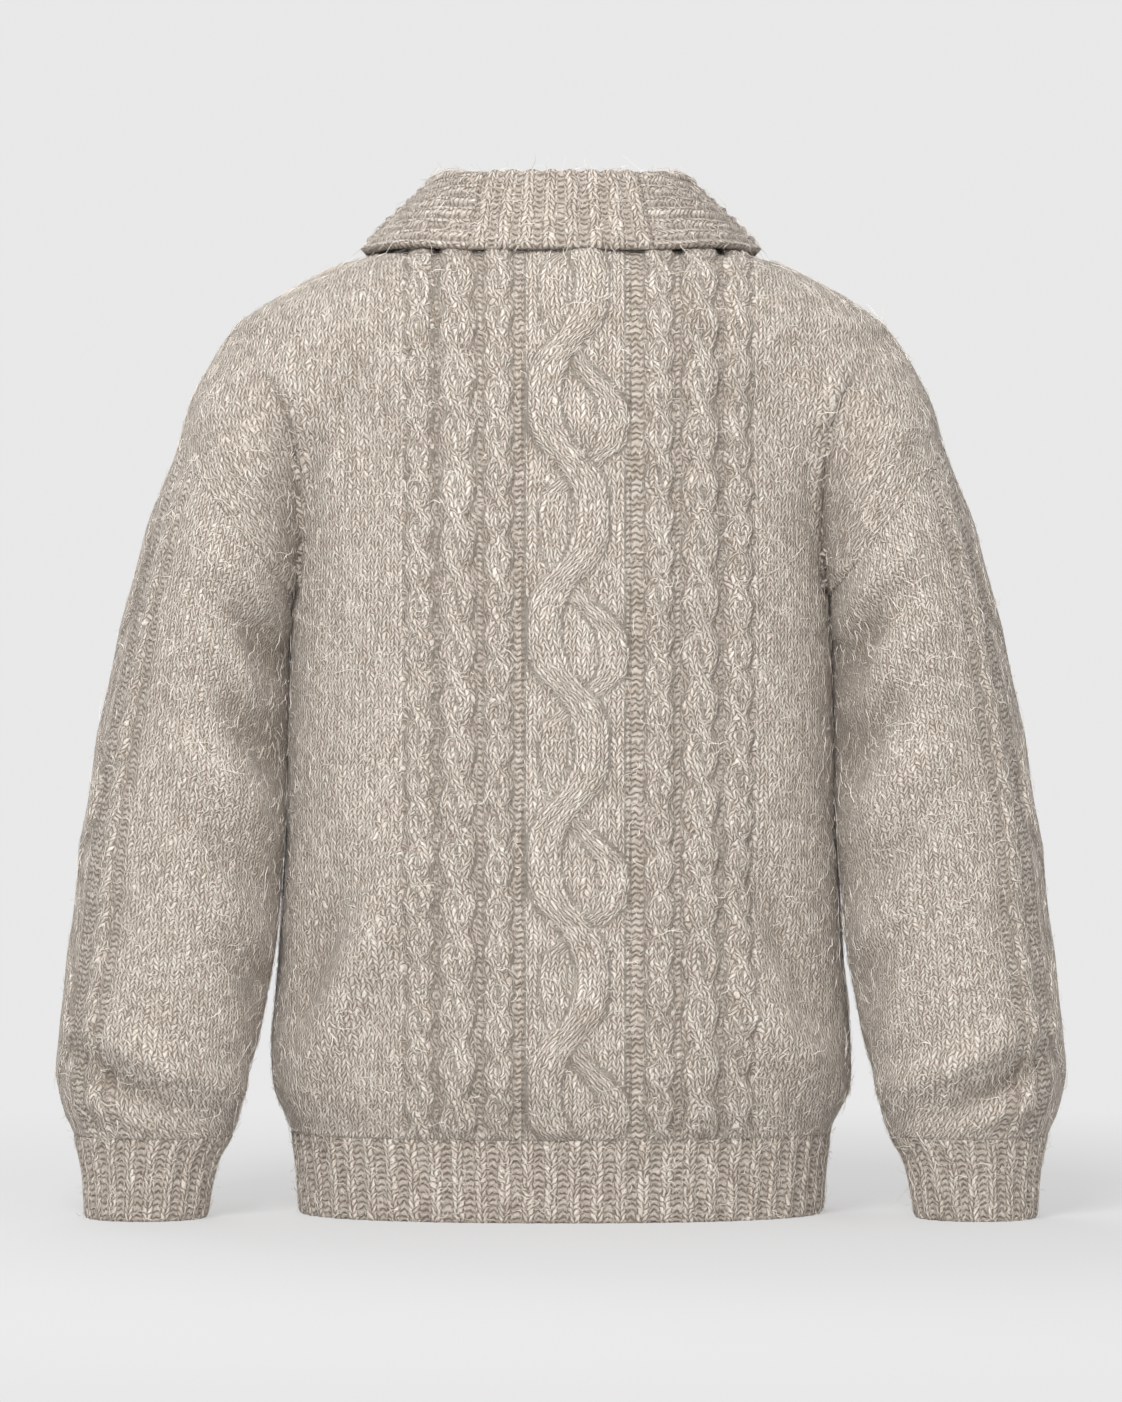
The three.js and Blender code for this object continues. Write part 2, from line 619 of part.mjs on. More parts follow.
/** Back or front: cable columns at fixed places across, side zones out to the seams. */
function buildPanel(face) {
  const wall = new Wall();
  const left = face.layoutCentre + cableZone;
  const right = face.layoutCentre - cableZone;
  const topAt = (x) => {
    if (Math.abs(x) >= neckHalf) return shoulderHeight(Math.abs(x));
    return face.depth === "back" ? neckHeight : neckLine(Math.abs(x));
  };
  const seamY = (vector) => {
    vector.y = face.sign * Math.max(seamGap / 2, face.sign * vector.y);
    return vector;
  };

  /** One column of the cable zone, raised by the cables and folds, or plain on the inside. */
  const column = (across, step, raised) => {
    const viewX = face.layoutCentre + across;
    const x = face.sign * viewX;
    const top = topAt(x);
    const { heights, cloth } = columnHeights(x, top, face, step);
    const points = heights.map((z, i) => {
      const normal = panelNormal(x, Math.min(z, top - slopeStep), face);
      const atNeck = face.depth === "back" && z === neckHeight;
      if (i === 0 || atNeck) normal.setZ(0).normalize();
      if (i === heights.length - 1 && Math.abs(x) >= neckHalf) normal.set(0, 0, 1);
      const point = panelPoint(x, z, face);
      if (!raised) return seamY(point.addScaledVector(normal, -wallThickness));
      const nearTop = smoothStep(cableFade.from, cableFade.to, cloth.at(-1) - cloth[i]);
      const rise = cableRise(across, cloth[i] + panelFoot, face) * nearTop;
      return seamY(point.addScaledVector(normal, rise + foldRise(viewX, z, panelFolds[face.name])));
    });
    return { ...wall.line(points, heights), place: -viewX / 1000 };
  };

  /** Columns of one side zone, from the seam inwards, all ending at the top of the cable zone's column. */
  const sideColumns = (side, border, shares, heights, raised) => {
    const inside = Math.abs(border);
    const apex = topAt(border) - 2;
    const rows = heights.filter((z) => z < apex);
    const stations = rows.map((z) => sideStations(z, inside, face, shares));
    return shares.map((share, k) => {
      const points = rows.map((z, i) => {
        const reach = stations[i][k];
        const x = side * face.sign * reach;
        if (share === sideEnd) {
          const { outer, inward } = panelEdge(z, face);
          const edge = raised ? outer : outer.addScaledVector(inward, wallThickness);
          edge.x *= side * face.sign;
          return seamY(edge);
        }
        const point = panelPoint(x, z, face);
        const normal = panelNormal(x, z, face);
        if (z === panelFoot) normal.setZ(0).normalize();
        if (!raised) return seamY(point.addScaledVector(normal, -wallThickness));
        const fade = smoothStep(sideEnd, 1.5, share);
        const rise = plainRise * fade + foldRise(side * reach, z, panelFolds[face.name]) * fade;
        return seamY(behindArmhole(point.addScaledVector(normal, rise), z));
      });
      return { points, rows, place: -(side * (inside + share * 100)) / 1000, edge: share === sideEnd };
    });
  };

  /** Puts the shared top point of a side zone on each of its columns. */
  const closeAt = (columns, apexColumn) => columns.map(({ points, rows, place, edge }) => {
    const { ids, keys } = wall.line(points, rows);
    return { ids: [...ids, apexColumn.ids.at(-1)], keys: [...keys, apexColumn.keys.at(-1)], place, edge };
  });

  const layer = (places, shares, heights, raised) => {
    const middle = places.map(({ across, step }) => column(across, step, raised));
    const outwards = [...shares].reverse();
    return [
      ...closeAt(sideColumns(1, left, outwards, heights, raised), middle[0]),
      ...middle,
      ...closeAt(sideColumns(-1, right, shares, heights, raised), middle.at(-1)),
    ];
  };

  const outerPlaces = [
    ...ropes.flatMap(({ centre, pitch, lines }) => lines.flatMap((offset) => {
      const step = pitch < 30 ? pitch / 2 : pitch / 3;
      return [{ across: centre + offset, step }, { across: offset - centre, step }];
    })),
    ...waveLines.map((offset) => ({ across: face.waveCentre + offset, step: waveRowStep })),
    { across: cableZone, step: 20 },
    { across: -cableZone, step: 20 },
  ].sort((a, b) => b.across - a.across);
  const innerPlaces = [126, 96, 68, 42, 20, 0, -20, -42, -68, -96, -126]
    .map((across) => ({ across, step: 36 }));
  const outer = layer(outerPlaces, [0.33, 0.67, 1, 1.3, 1.55, 1.75, 1.9, sideEnd], sideHeights, true);
  const innerHeights = sideHeights.filter((_, i) => i === 0 || i % 2 === underarmRow % 2);
  const inner = layer(innerPlaces, [0.33, 1, 1.3, 1.75, sideEnd], innerHeights, false);
  wall.fill(outer, inner, false);
  return wall.mesh(face.name, knitColour);
}

// Tubes: sleeves, cuffs and hem

/** Point of a sleeve's ring. The ring stands on its outer and inner edge points and is round in depth. */
function sleevePoint(t, angle) {
  const outerZ = armhole.highZ + t * (ribTop - armhole.highZ);
  const innerZ = armhole.lowZ + t * (ribTop - armhole.lowZ);
  const outerX = outline(outerZ);
  const innerX = innerEdge(innerZ);
  const swing = Math.cos(angle) / 2;
  return new THREE.Vector3(
    (outerX + innerX) / 2 + swing * (outerX - innerX),
    sleeveCentre(t) + sleeveDeep(t) * Math.sin(angle),
    (outerZ + innerZ) / 2 + swing * (outerZ - innerZ),
  );
}

function cuffPoint(z, angle) {
  const reach = (outline(z) - innerEdge(z)) / 2;
  return new THREE.Vector3(
    innerEdge(z) + reach * (1 + Math.cos(angle)),
    cuffCentre(z) + cuffDeep(z) * Math.sin(angle),
    z,
  );
}

/** Point of the hem tube at an angle round it, on the same rounded section as the body. */
function hemPoint(z, angle) {
  const power = 2 / torso.power(z);
  const round = (value) => Math.sign(value) * Math.abs(value) ** power;
  const deep = Math.sin(angle) > 0 ? torso.back(z) : torso.front(z);
  return new THREE.Vector3(torso.half(z) * round(Math.cos(angle)), deep * round(Math.sin(angle)), z);
}

/** Angles at the given distances round a ring, positive or negative from angle 0. */
function anglesAt(ringPoint, distances) {
  const samples = Array.from({ length: 241 }, (_, i) => {
    const at = (2 * Math.PI * i) / 240;
    return { at, point: ringPoint(at) };
  });
  const total = pathLength(samples);
  return { total, angles: alongPath(samples, distances(total).map((d) => ((d % total) + total) % total)) };
}

/** Outward direction of a tube's surface at a level and an angle. */
function tubeNormal(surface, level, angle, levelStep) {
  const across = surface(level, angle + 0.01).sub(surface(level, angle - 0.01));
  const up = surface(level + levelStep, angle).sub(surface(level - levelStep, angle));
  return across.cross(up).normalize();
}

/** Closed tube wall. Levels run upwards, and places(total) gives distances round each ring in order. */
function buildTube({ surface, levelStep, levels, innerLevels, places, innerPlaces, rise, outward }) {
  const wall = new Wall();
  const layer = (rows, spread, raised) => {
    const rings = rows.map((level) => anglesAt((angle) => surface(level, angle), spread));
    return spread(rings[0].total).map((_, k) => {
      const points = rows.map((level, i) => {
        const angle = rings[i].angles[k];
        const point = surface(level, angle);
        const normal = outward(level, point) ?? tubeNormal(surface, level, angle, levelStep);
        const around = spread(rings[i].total)[k];
        const offset = raised ? rise({ level, angle, around, point, k }) : -wallThickness;
        return point.addScaledVector(normal, offset);
      });
      return { ...wall.line(points, rows), place: spread(rings[0].total)[k] / rings[0].total };
    });
  };
  wall.fill(layer(levels, places, true), layer(innerLevels, innerPlaces, false), true);
  return wall;
}

const evenPlaces = (count) => (total) => Array.from({ length: count }, (_, i) => (total * i) / count);

/** Three lines for each rib: the groove and the two shoulders of the rib. */
const ribPlaces = (ribs) => (total) => Array.from({ length: ribs * 3 }, (_, i) => {
  const share = [0, 0.32, 0.68][i % 3];
  return (total * (Math.floor(i / 3) + share)) / ribs;
});

function buildHem() {
  return buildTube({
    surface: hemPoint,
    levelStep: 1,
    levels: [0, ribTop - seamGap / 2],
    innerLevels: [0, ribTop - seamGap / 2],
    places: ribPlaces(hemRibs),
    innerPlaces: evenPlaces(40),
    rise: ({ k }) => (k % 3 === 0 ? 0 : ribRise),
    outward: hemOutward,
  }).mesh("hem_rib", ribColour);
}

/** Level direction away from the middle of the hem, so that its ends stay flat. */
function hemOutward(level, point) {
  const power = torso.power(level);
  const deep = point.y > 0 ? torso.back(level) : torso.front(level);
  const x = Math.sign(point.x) * (Math.abs(point.x) / torso.half(level)) ** (power - 1);
  const y = Math.sign(point.y) * (Math.abs(point.y) / deep) ** (power - 1);
  return new THREE.Vector3(x / torso.half(level), y / deep, 0).normalize();
}

function buildCuff(name, mirrored) {
  const top = ribTop - seamGap / 2;
  return buildTube({
    surface: cuffPoint,
    levelStep: 1,
    levels: [0, 34, top],
    innerLevels: [0, 30, top],
    places: ribPlaces(cuffRibs),
    innerPlaces: evenPlaces(16),
    rise: ({ k }) => (k % 3 === 0 ? 0 : ribRise * 0.8),
    outward: (level, point) => {
      const reach = (outline(level) - innerEdge(level)) / 2;
      const x = (point.x - innerEdge(level) - reach) / reach ** 2;
      const y = (point.y - cuffCentre(level)) / cuffDeep(level) ** 2;
      return new THREE.Vector3(x, y, 0).normalize();
    },
  }).mesh(name, ribColour, mirrored);
}

const sleeveBand = [
  ...waveLines.filter((_, i) => i % 2 === 0),
  ...[43, 47, 53, 59, 65, 72].flatMap((reach) => [reach, -reach]),
].sort((a, b) => a - b);
const sleeveInnerBand = [-72, -36, 0, 36, 72];
const sleevePlainLines = 10;

/** Distances round a sleeve from its outermost line: the cable band, then plain cloth the rest of the way. */
const sleevePlaces = (band) => (total) => {
  const edge = band.at(-1);
  const plain = Array.from({ length: sleevePlainLines }, (_, i) => (
    edge + ((total - 2 * edge) * (i + 1)) / (sleevePlainLines + 1)
  ));
  return [...band, ...plain];
};

/** Rise of the sleeve's cable band, the wave with one plain rope and a groove on each side. */
function sleeveRise(around, along) {
  const reach = Math.abs(around);
  if (reach < wave.halfWidth) return waveRise(around, along);
  if (reach > 70) return plainRise;
  const offset = (reach - 56) / 9;
  return Math.abs(offset) < 1 ? 3.2 * Math.sqrt(1 - offset * offset) : 0;
}

function buildSleeve(name, mirrored) {
  const bottomT = (level) => 1 - level;
  const surface = (level, angle) => sleevePoint(bottomT(level), angle);
  const levels = [0, 0.025, 0.05, 0.085, 0.125, 0.175, 0.23, 0.29, 0.35, 0.41, 0.47, 0.53, 0.59, 0.65, 0.71, 0.77,
    0.83, 0.89, 0.95, 1];
  const sleeveLength = 500;
  const wall = buildTube({
    surface,
    levelStep: 0.002,
    levels,
    innerLevels: levels.filter((_, i) => i % 2 === 0 || i === levels.length - 1),
    places: sleevePlaces(sleeveBand),
    innerPlaces: sleevePlaces(sleeveInnerBand),
    rise: ({ level, angle, around, point }) => {
      const side = Math.sign(Math.sin(angle)) || 1;
      const folds = sleeveFolds.filter((fold) => fold.side === side);
      const fade = smoothStep(0, 0.3, Math.abs(Math.sin(angle))) * smoothStep(1, 0.93, level);
      const nearSeam = smoothStep(1, 0.96, level) * smoothStep(0, 0.03, level);
      return sleeveRise(around, level * sleeveLength) * nearSeam + foldRise(point.x, point.z, folds) * fade;
    },
    outward: sleeveEndDirection,
  });
  return wall.mesh(name, knitColour, mirrored);
}

/** At its two ends the sleeve's wall is as thick in the plane of the seam, and 0.15 mm off it. */
function sleeveEndDirection(level, point) {
  if (level === 1) {
    point.addScaledVector(armholeNormal, -seamGap / 2);
    const outward = point.clone().sub(armholeMiddle);
    return outward.addScaledVector(armholeNormal, -outward.dot(armholeNormal)).normalize();
  }
  if (level === 0) {
    point.z += seamGap / 2;
    const middleX = (outline(ribTop) + innerEdge(ribTop)) / 2;
    return new THREE.Vector3(point.x - middleX, point.y - sleeveCentre(1), 0).normalize();
  }
  return undefined;
}

// Collar

const guideNames = ["foldX", "foldY", "foldZ", "edgeX", "edgeY", "edgeZ"];

/** Curves of the fold and the free edge over the distance x of the neck seam from the middle plane. */
function collarGuides(rows) {
  return Object.fromEntries(guideNames.map((name) => [name, curveThrough(rows, "x", name)]));
}

const backGuides = collarGuides(collarBackRows);
const frontGuides = collarGuides(collarFrontRows);

/** Point of the neck's seam, on the back's level top edge or on the front's V. */
function neckPoint(x, onBack) {
  const point = panelPoint(x, onBack ? neckHeight : neckLine(x), onBack ? backFace : frontFace);
  if (x === neckHalf) point.y = 0;
  point.z += onBack ? seamGap : 2 * seamGap;
  return point;
}

/** Level direction out of the neck at its seam, square to the seam. */
function neckOutward(x, onBack) {
  const ahead = neckPoint(Math.min(neckHalf, x + 1), onBack);
  const behind = neckPoint(Math.max(0, x - 1), onBack);
  const run = ahead.sub(behind);
  return new THREE.Vector3(Math.abs(run.y), onBack ? run.x : -run.x, 0).normalize();
}

/** Neck seam, fold and free edge at one station of the collar. */
function collarStation({ x, onBack }) {
  const guides = onBack ? backGuides : frontGuides;
  return {
    seam: neckPoint(x, onBack),
    fold: new THREE.Vector3(guides.foldX(x), guides.foldY(x), guides.foldZ(x)),
    edge: new THREE.Vector3(guides.edgeX(x), guides.edgeY(x), guides.edgeZ(x)),
  };
}

/** Middle line of the collar's cloth at a station: up from the seam, over the fold and down to the edge. */
function collarLine(station) {
  const { seam, fold, edge } = collarStation(station);
  const away = neckOutward(station.x, station.onBack);
  const up = new THREE.Vector3(0, 0, 1);
  const shoulder = (direction) => fold.clone()
    .addScaledVector(away, direction * foldGap)
    .addScaledVector(up, -foldGap);
  const half = fold.clone().lerp(edge, 0.55).addScaledVector(away, station.onBack ? 1.5 : 2.5);
  const inner = seam.clone().addScaledVector(away, -collarThickness / 2);
  return new THREE.CatmullRomCurve3([
    inner,
    inner.clone().addScaledVector(up, 6),
    shoulder(-1),
    fold,
    shoulder(1),
    half,
    edge,
  ], false, "centripetal");
}

/** Stations from the middle of the back round to the middle of the front. */
function collarStations(backXs, frontXs) {
  return [
    ...backXs.map((x) => ({ x, onBack: true })),
    ...frontXs.map((x) => ({ x, onBack: false })),
  ];
}

/** Collar piece: a folded wall whose visible side carries the ribs. Columns follow the stations. */
function buildCollarPiece({ name, stations, innerStations, shares, innerShares, rise, mirrored, ends }) {
  const wall = new Wall();
  const curves = new Map();
  const lineAt = (station) => {
    const key = `${station.x} ${station.onBack} ${station.mirrorX === true}`;
    if (!curves.has(key)) curves.set(key, collarLine(station));
    return curves.get(key);
  };
  const pointAt = (station, share) => {
    const point = lineAt(station).getPoint(share);
    if (station.mirrorX) point.x = -point.x;
    return point;
  };
  const beside = (station, step) => ({ ...station, x: Math.min(neckHalf, Math.max(0, station.x + step)) });
  const layer = (chosen, rows, raised) => chosen.map((station, i) => {
    const forwards = station.onBack === !station.mirrorX ? 0.5 : -0.5;
    const inside = i > 0 && i < chosen.length - 1;
    const before = inside ? chosen[i - 1] : beside(station, -forwards);
    const after = inside ? chosen[i + 1] : beside(station, forwards);
    const points = rows.map((share, j) => {
      const across = pointAt(after, share).sub(pointAt(before, share));
      const low = pointAt(station, Math.max(0, share - 0.01));
      const along = pointAt(station, Math.min(1, share + 0.01)).sub(low);
      const normal = across.cross(along).normalize();
      const offset = raised ? collarThickness / 2 + rise(i, j, share) : -collarThickness / 2;
      const point = pointAt(station, share).addScaledVector(normal, offset);
      return ends(point, i, chosen.length, station);
    });
    return { ...wall.line(points, rows), place: i / (chosen.length - 1) };
  });
  wall.fill(layer(stations, shares, true), layer(innerStations, innerShares, false), false);
  return wall.mesh(name, ribColour, mirrored);
}

const evenShares = (count) => Array.from({ length: count + 1 }, (_, i) => i / count);

/** Back of the collar, with ribs that run up and over the fold. */
function buildCollarBack() {
  const ribs = 9;
  const half = collarSeamX - seamGap / 2;
  const stationAt = (x) => ({ x: Math.abs(x), onBack: true, mirrorX: x < 0 });
  const lines = Array.from({ length: ribs * 3 + 1 }, (_, i) => {
    const share = Math.floor(i / 3) + [0, 0.32, 0.68][i % 3];
    return half - (2 * half * share) / ribs;
  });
  const innerLines = evenShares(8).map((share) => half - 2 * half * share);
  return buildCollarPiece({
    name: "collar_back",
    stations: lines.map(stationAt).reverse(),
    innerStations: innerLines.map(stationAt).reverse(),
    shares: [0, 0.16, 0.3, 0.4, 0.46, 0.52, 0.6, 0.72, 0.86, 1],
    innerShares: [0, 0.2, 0.38, 0.5, 0.62, 0.8, 1],
    rise: (i) => (i % 3 === 0 ? 0 : collarRibRise),
    mirrored: false,
    ends: (point) => point,
  });
}

/** Side of the collar, with ribs along it, from the seam on the back round to the middle of the front. */
function buildCollarSide(name, mirrored) {
  const backXs = [collarSeamX + seamGap / 2, 62, 72, 80, 86];
  const columns = [...ropes.flatMap(({ centre, lines }) => lines.map((offset) => centre + offset)), ...waveLines];
  const frontXs = [neckHalf, ...columns.filter((x) => x >= 0 && x < neckHalf).sort((a, b) => b - a)];
  const shares = [0, 0.15, 0.3, ...Array.from({ length: 15 }, (_, i) => 0.38 + (0.62 * i) / 14)];
  return buildCollarPiece({
    name,
    stations: collarStations(backXs, frontXs),
    innerStations: collarStations([backXs[0], 72, 84], frontXs),
    shares,
    innerShares: [0, 0.2, 0.38, 0.5, 0.62, 0.8, 1],
    rise: (i, j) => (j > 2 && j % 2 === 0 ? collarRibRise : 0),
    mirrored,
    ends: (point, i, count, station) => {
      if (station.x === 0 && !station.onBack) point.x = seamGap / 2;
      return point;
    },
  });
}

const sweater = new THREE.Group();
sweater.name = "cable_knit_sweater";
sweater.add(
  buildPanel(backFace),
  buildPanel(frontFace),
  buildSleeve("sleeve_left", false),
  buildSleeve("sleeve_right", true),
  buildCuff("cuff_left", false),
  buildCuff("cuff_right", true),
  buildHem(),
  buildCollarBack(),
  buildCollarSide("collar_left", false),
  buildCollarSide("collar_right", true),
);

export default sweater;
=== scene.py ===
"""Cable knit sweater with a turned-over rib collar, standing hollow on its hem and cuffs.

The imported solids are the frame. Each sewn piece is built again here as a fine closed shell on the same form,
with its cables, ribs, stitches, folds and loose fibres, and gets a heathered wool finish. Sizes are written in
millimetres and become metres when a mesh is made. The front faces -Y, the back +Y, and +Z is up.
"""

import json
import logging
import math
from dataclasses import dataclass, field
from enum import Enum

import bpy
import numpy as np
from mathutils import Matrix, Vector

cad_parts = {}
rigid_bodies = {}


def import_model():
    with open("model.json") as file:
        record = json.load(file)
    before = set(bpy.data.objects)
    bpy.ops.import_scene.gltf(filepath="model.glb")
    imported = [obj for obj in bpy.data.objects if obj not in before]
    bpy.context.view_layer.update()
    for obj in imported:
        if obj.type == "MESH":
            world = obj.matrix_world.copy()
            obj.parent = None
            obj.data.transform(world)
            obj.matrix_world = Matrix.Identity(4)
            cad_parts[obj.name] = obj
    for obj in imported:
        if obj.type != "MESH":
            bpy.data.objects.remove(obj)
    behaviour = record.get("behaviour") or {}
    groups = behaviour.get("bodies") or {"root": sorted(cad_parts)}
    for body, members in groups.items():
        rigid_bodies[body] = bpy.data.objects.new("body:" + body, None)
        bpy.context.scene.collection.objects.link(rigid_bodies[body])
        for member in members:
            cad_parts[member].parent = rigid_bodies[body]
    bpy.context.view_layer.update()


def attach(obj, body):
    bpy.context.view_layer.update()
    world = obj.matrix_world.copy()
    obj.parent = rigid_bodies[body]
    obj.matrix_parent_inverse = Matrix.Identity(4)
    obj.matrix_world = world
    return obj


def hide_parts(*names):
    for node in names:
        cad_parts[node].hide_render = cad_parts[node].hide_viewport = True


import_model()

log = logging.getLogger("sweater")

Array = np.ndarray

MM = 0.001
RIB_TOP = 57.0
NECK_HEIGHT = 672.0
NECK_HALF = 90.0
DEPTH_SHIFT = 8.6
CLOTH_THICKNESS = 2.6
COLLAR_THICKNESS = 4.0
CABLE_ZONE = 126.0
WALE = 6.0
COURSE = 4.3
PLAIN_RISE = 1.2
CABLE_HAIR = 0.4
CREASE_DEPTH = 12.0
FOLD_STRENGTH = 1.5


def columns(names: str, *rows: tuple[float, ...]) -> dict[str, Array]:
    """Turns a short table into one array for each named column.

    Args:
        names: The column names, parted by spaces.
        rows: The table's rows, each as long as the names.

    Returns:
        One array for each name.
    """
    return dict(zip(names.split(), np.array(rows, float).T))


TORSO = columns(
    "z half back front power",
    (0, 181, 105, 108, 2.3), (29, 183, 106, 109, 2.3), (57, 187, 108, 111, 2.3), (71, 192.5, 113, 116, 2.3),
    (85, 198, 117, 120, 2.3), (113, 201, 120, 124, 2.3), (183, 196, 117, 122, 2.3), (288, 190.4, 113, 120, 2.3),
    (358, 188.6, 113, 121, 2.3), (430, 187, 114, 123, 2.3), (481, 184.5, 115.5, 124, 2.3),
    (533, 186, 115, 122, 2.3), (560, 194, 114, 120, 2.25), (589, 212, 112, 117, 2.2), (617, 228, 110, 113, 2.1),
    (645, 250, 103, 106, 2), (659, 260, 96, 99, 2), (667, 270, 88, 92, 2), (672, 280, 72, 78, 2),
)
OUTLINE = columns(
    "z half",
    (0, 327.5), (29, 329.4), (57, 335.8), (85, 343.7), (99, 345.2), (127, 343.8), (183, 337.7), (239, 332.2),
    (295, 323.8), (351, 315.5), (407, 303.2), (463, 288.6), (505, 277), (533, 267), (561, 259), (589, 245.7),
    (603, 237), (617, 226.5), (631, 209), (645, 185.5), (659, 157.5), (664.5, 139), (668, 120), (672, 90),
)
INNER_EDGE = columns(
    "z half",
    (0, 246.4), (29, 241.4), (43, 237), (57, 228.5), (71, 223.6), (99, 217.8), (127, 210), (155, 205),
    (183, 200.5), (218, 197.5), (288, 193.5), (358, 191.5), (412, 189.5), (430, 187),
)
ARM = columns(
    "z wide deep",
    (430, 55, 80), (455, 57, 84), (481, 57, 85), (507, 57, 85), (533, 57, 83), (560, 60, 78), (589, 66, 64),
    (617, 72, 40), (645, 80, 1),
)
SLEEVE = columns(
    "t centre deep",
    (0, 0, 85), (0.15, 5, 83), (0.35, 15, 78), (0.6, 29, 73), (0.8, 39, 70), (0.92, 44, 62), (1, 47, 52),
)
CUFF = columns("z centre deep", (0, 52, 41), (29, 51, 43), (43, 49, 46.5), (57, 47, 52))
NECK = columns(
    "half z", (0, 560), (25, 590), (45, 620), (60, 645), (70, 660), (77, 667), (84, 670), (90, 672),
)
COLLAR_BACK_GUIDE = columns(
    "x fold_x fold_y fold_z edge_x edge_y edge_z",
    (0, 0, 71, 719.5, 0, 99, 667), (52, 51, 58, 720, 64, 87, 667.5), (80, 77, 31, 720.5, 113, 56, 671),
    (90, 88, -2, 720, 138, 0, 671),
)
COLLAR_FRONT_GUIDE = columns(
    "x fold_x fold_y fold_z edge_x edge_y edge_z",
    (0, 0, -132, 580, 0, -135, 508), (22, 21, -130, 607, 40, -133, 542), (45, 42, -122, 640, 80, -124, 584),
    (60, 57, -113, 666, 106, -115, 620), (70, 68, -99, 688, 122, -96, 648), (77, 76, -80, 702, 130, -70, 662),
    (84, 84, -48, 714, 136, -36, 670), (90, 88, -2, 720, 138, 0, 671),
)


class Side(Enum):
    """The garment's two sides, as the sign of X."""

    LEFT = 1
    RIGHT = -1


class Face(Enum):
    """The two large panels, as the sign of Y."""

    BACK = 1
    FRONT = -1


class SmoothCurve:
    """Smooth curve through table rows that never swings past them."""

    def __init__(self, keys: Array, values: Array) -> None:
        """Works out the tangents: the harmonic mean of the slopes on both sides, or level at a turning point.

        Args:
            keys: Where the rows stand, growing.
            values: The value of each row.
        """
        self.keys = keys
        self.values = values
        slopes = np.diff(values) / np.diff(keys)
        product = slopes[:-1] * slopes[1:]
        total = np.where(product > 0, slopes[:-1] + slopes[1:], 1.0)
        inner = np.where(product > 0, 2 * product / total, 0.0)
        self.tangents = np.concatenate([slopes[:1], inner, slopes[-1:]])

    def __call__(self, at: Array | float) -> Array:
        """Returns the cubic through the two rows around each place, held level beyond the ends."""
        k = np.clip(np.asarray(at, float), self.keys[0], self.keys[-1])
        i = np.clip(np.searchsorted(self.keys, k, side="right") - 1, 0, len(self.keys) - 2)
        span = self.keys[i + 1] - self.keys[i]
        u = (k - self.keys[i]) / span
        rise = u * u * (3 - 2 * u)
        leave = u * (1 - u) ** 2 * span * self.tangents[i]
        arrive = -u * u * (1 - u) * span * self.tangents[i + 1]
        return self.values[i] * (1 - rise) + self.values[i + 1] * rise + leave + arrive


def curve(table: dict[str, Array], value: str, key: str = "z") -> SmoothCurve:
    """Returns the smooth curve of one column of a table over another."""
    return SmoothCurve(table[key], table[value])


def smooth_step(low: float, high: float, value: Array) -> Array:
    """Returns 0 before low, 1 past high and a soft S between them."""
    u = np.clip((value - low) / (high - low), 0, 1)
    return u * u * (3 - 2 * u)


def unit(vectors: Array) -> Array:
    """Returns the vectors at length one, and straight up where they have none."""
    length = np.linalg.norm(vectors, axis=-1, keepdims=True)
    return np.where(length > 1e-9, vectors / np.maximum(length, 1e-9), np.array([0.0, 0.0, 1.0]))


def to_world(points: Array) -> Array:
    """Returns points in metres in the shared frame, with none below the ground."""
    world = (points + np.array([0, DEPTH_SHIFT, 0])) * MM
    world[:, 2] = np.maximum(world[:, 2], 0)
    return world


def grid_normals(points: Array, closed: bool) -> Array:
    """Outward directions of a grid: the cross product of its steps across and up.

    Args:
        points: Rows, columns and X Y Z, with columns running to the right as seen from outside.
        closed: Whether the last column meets the first.

    Returns:
        One unit vector for each point.
    """
    if closed:
        across = np.roll(points, -1, axis=1) - np.roll(points, 1, axis=1)
    else:
        across = np.gradient(points, axis=1)
    up = np.gradient(points, axis=0)
    return unit(np.cross(across, up))


def path_lengths(points: Array) -> Array:
    """Returns the distance run along each path, with the path's steps on the next to last axis."""
    steps = np.linalg.norm(np.diff(points, axis=-2), axis=-1)
    return np.concatenate([np.zeros(steps.shape[:-1] + (1,)), np.cumsum(steps, axis=-1)], axis=-1)


def at_lengths(lengths: Array, places: Array, wanted: Array) -> Array:
    """Places on each path at wanted distances, by straight lines between its samples.

    Args:
        lengths: Distance run at each sample, one row for each path.
        places: The path's own coordinate at each sample, as lengths.
        wanted: Distances, one row for each path.

    Returns:
        The coordinate at each wanted distance.
    """
    return np.stack([np.interp(w, run, place) for w, run, place in zip(wanted, lengths, places)])


@dataclass(frozen=True)
class Fold:
    """A soft ridge, or a trough when its rise is below zero, along a bent line of x and z."""

    line: tuple[tuple[float, float], ...]
    width: float
    rise: float

    def height(self, x: Array, z: Array) -> Array:
        """Bump across the line that fades at its ends: rise times a bell of the distance to the line.

        Args:
            x: Places across, in millimetres.
            z: Heights, in millimetres.

        Returns:
            How far the cloth stands out at each place.
        """
        starts = np.array(self.line[:-1])
        ends = np.array(self.line[1:])
        runs = np.linalg.norm(ends - starts, axis=1)
        before = np.concatenate([[0], np.cumsum(runs)[:-1]])
        best = np.full(np.shape(x), np.inf)
        along = np.zeros(np.shape(x))
        for start, end, run, behind in zip(starts, ends, runs, before):
            way = end - start
            share = np.clip(((x - start[0]) * way[0] + (z - start[1]) * way[1]) / run**2, 0, 1)
            distance = np.hypot(x - start[0] - share * way[0], z - start[1] - share * way[1])
            nearer = distance < best
            best = np.where(nearer, distance, best)
            along = np.where(nearer, (behind + share * run) / runs.sum(), along)
        fade = 0.35 + 0.65 * np.sin(np.pi * along)
        return self.rise * fade * np.exp(-((best / self.width) ** 2))


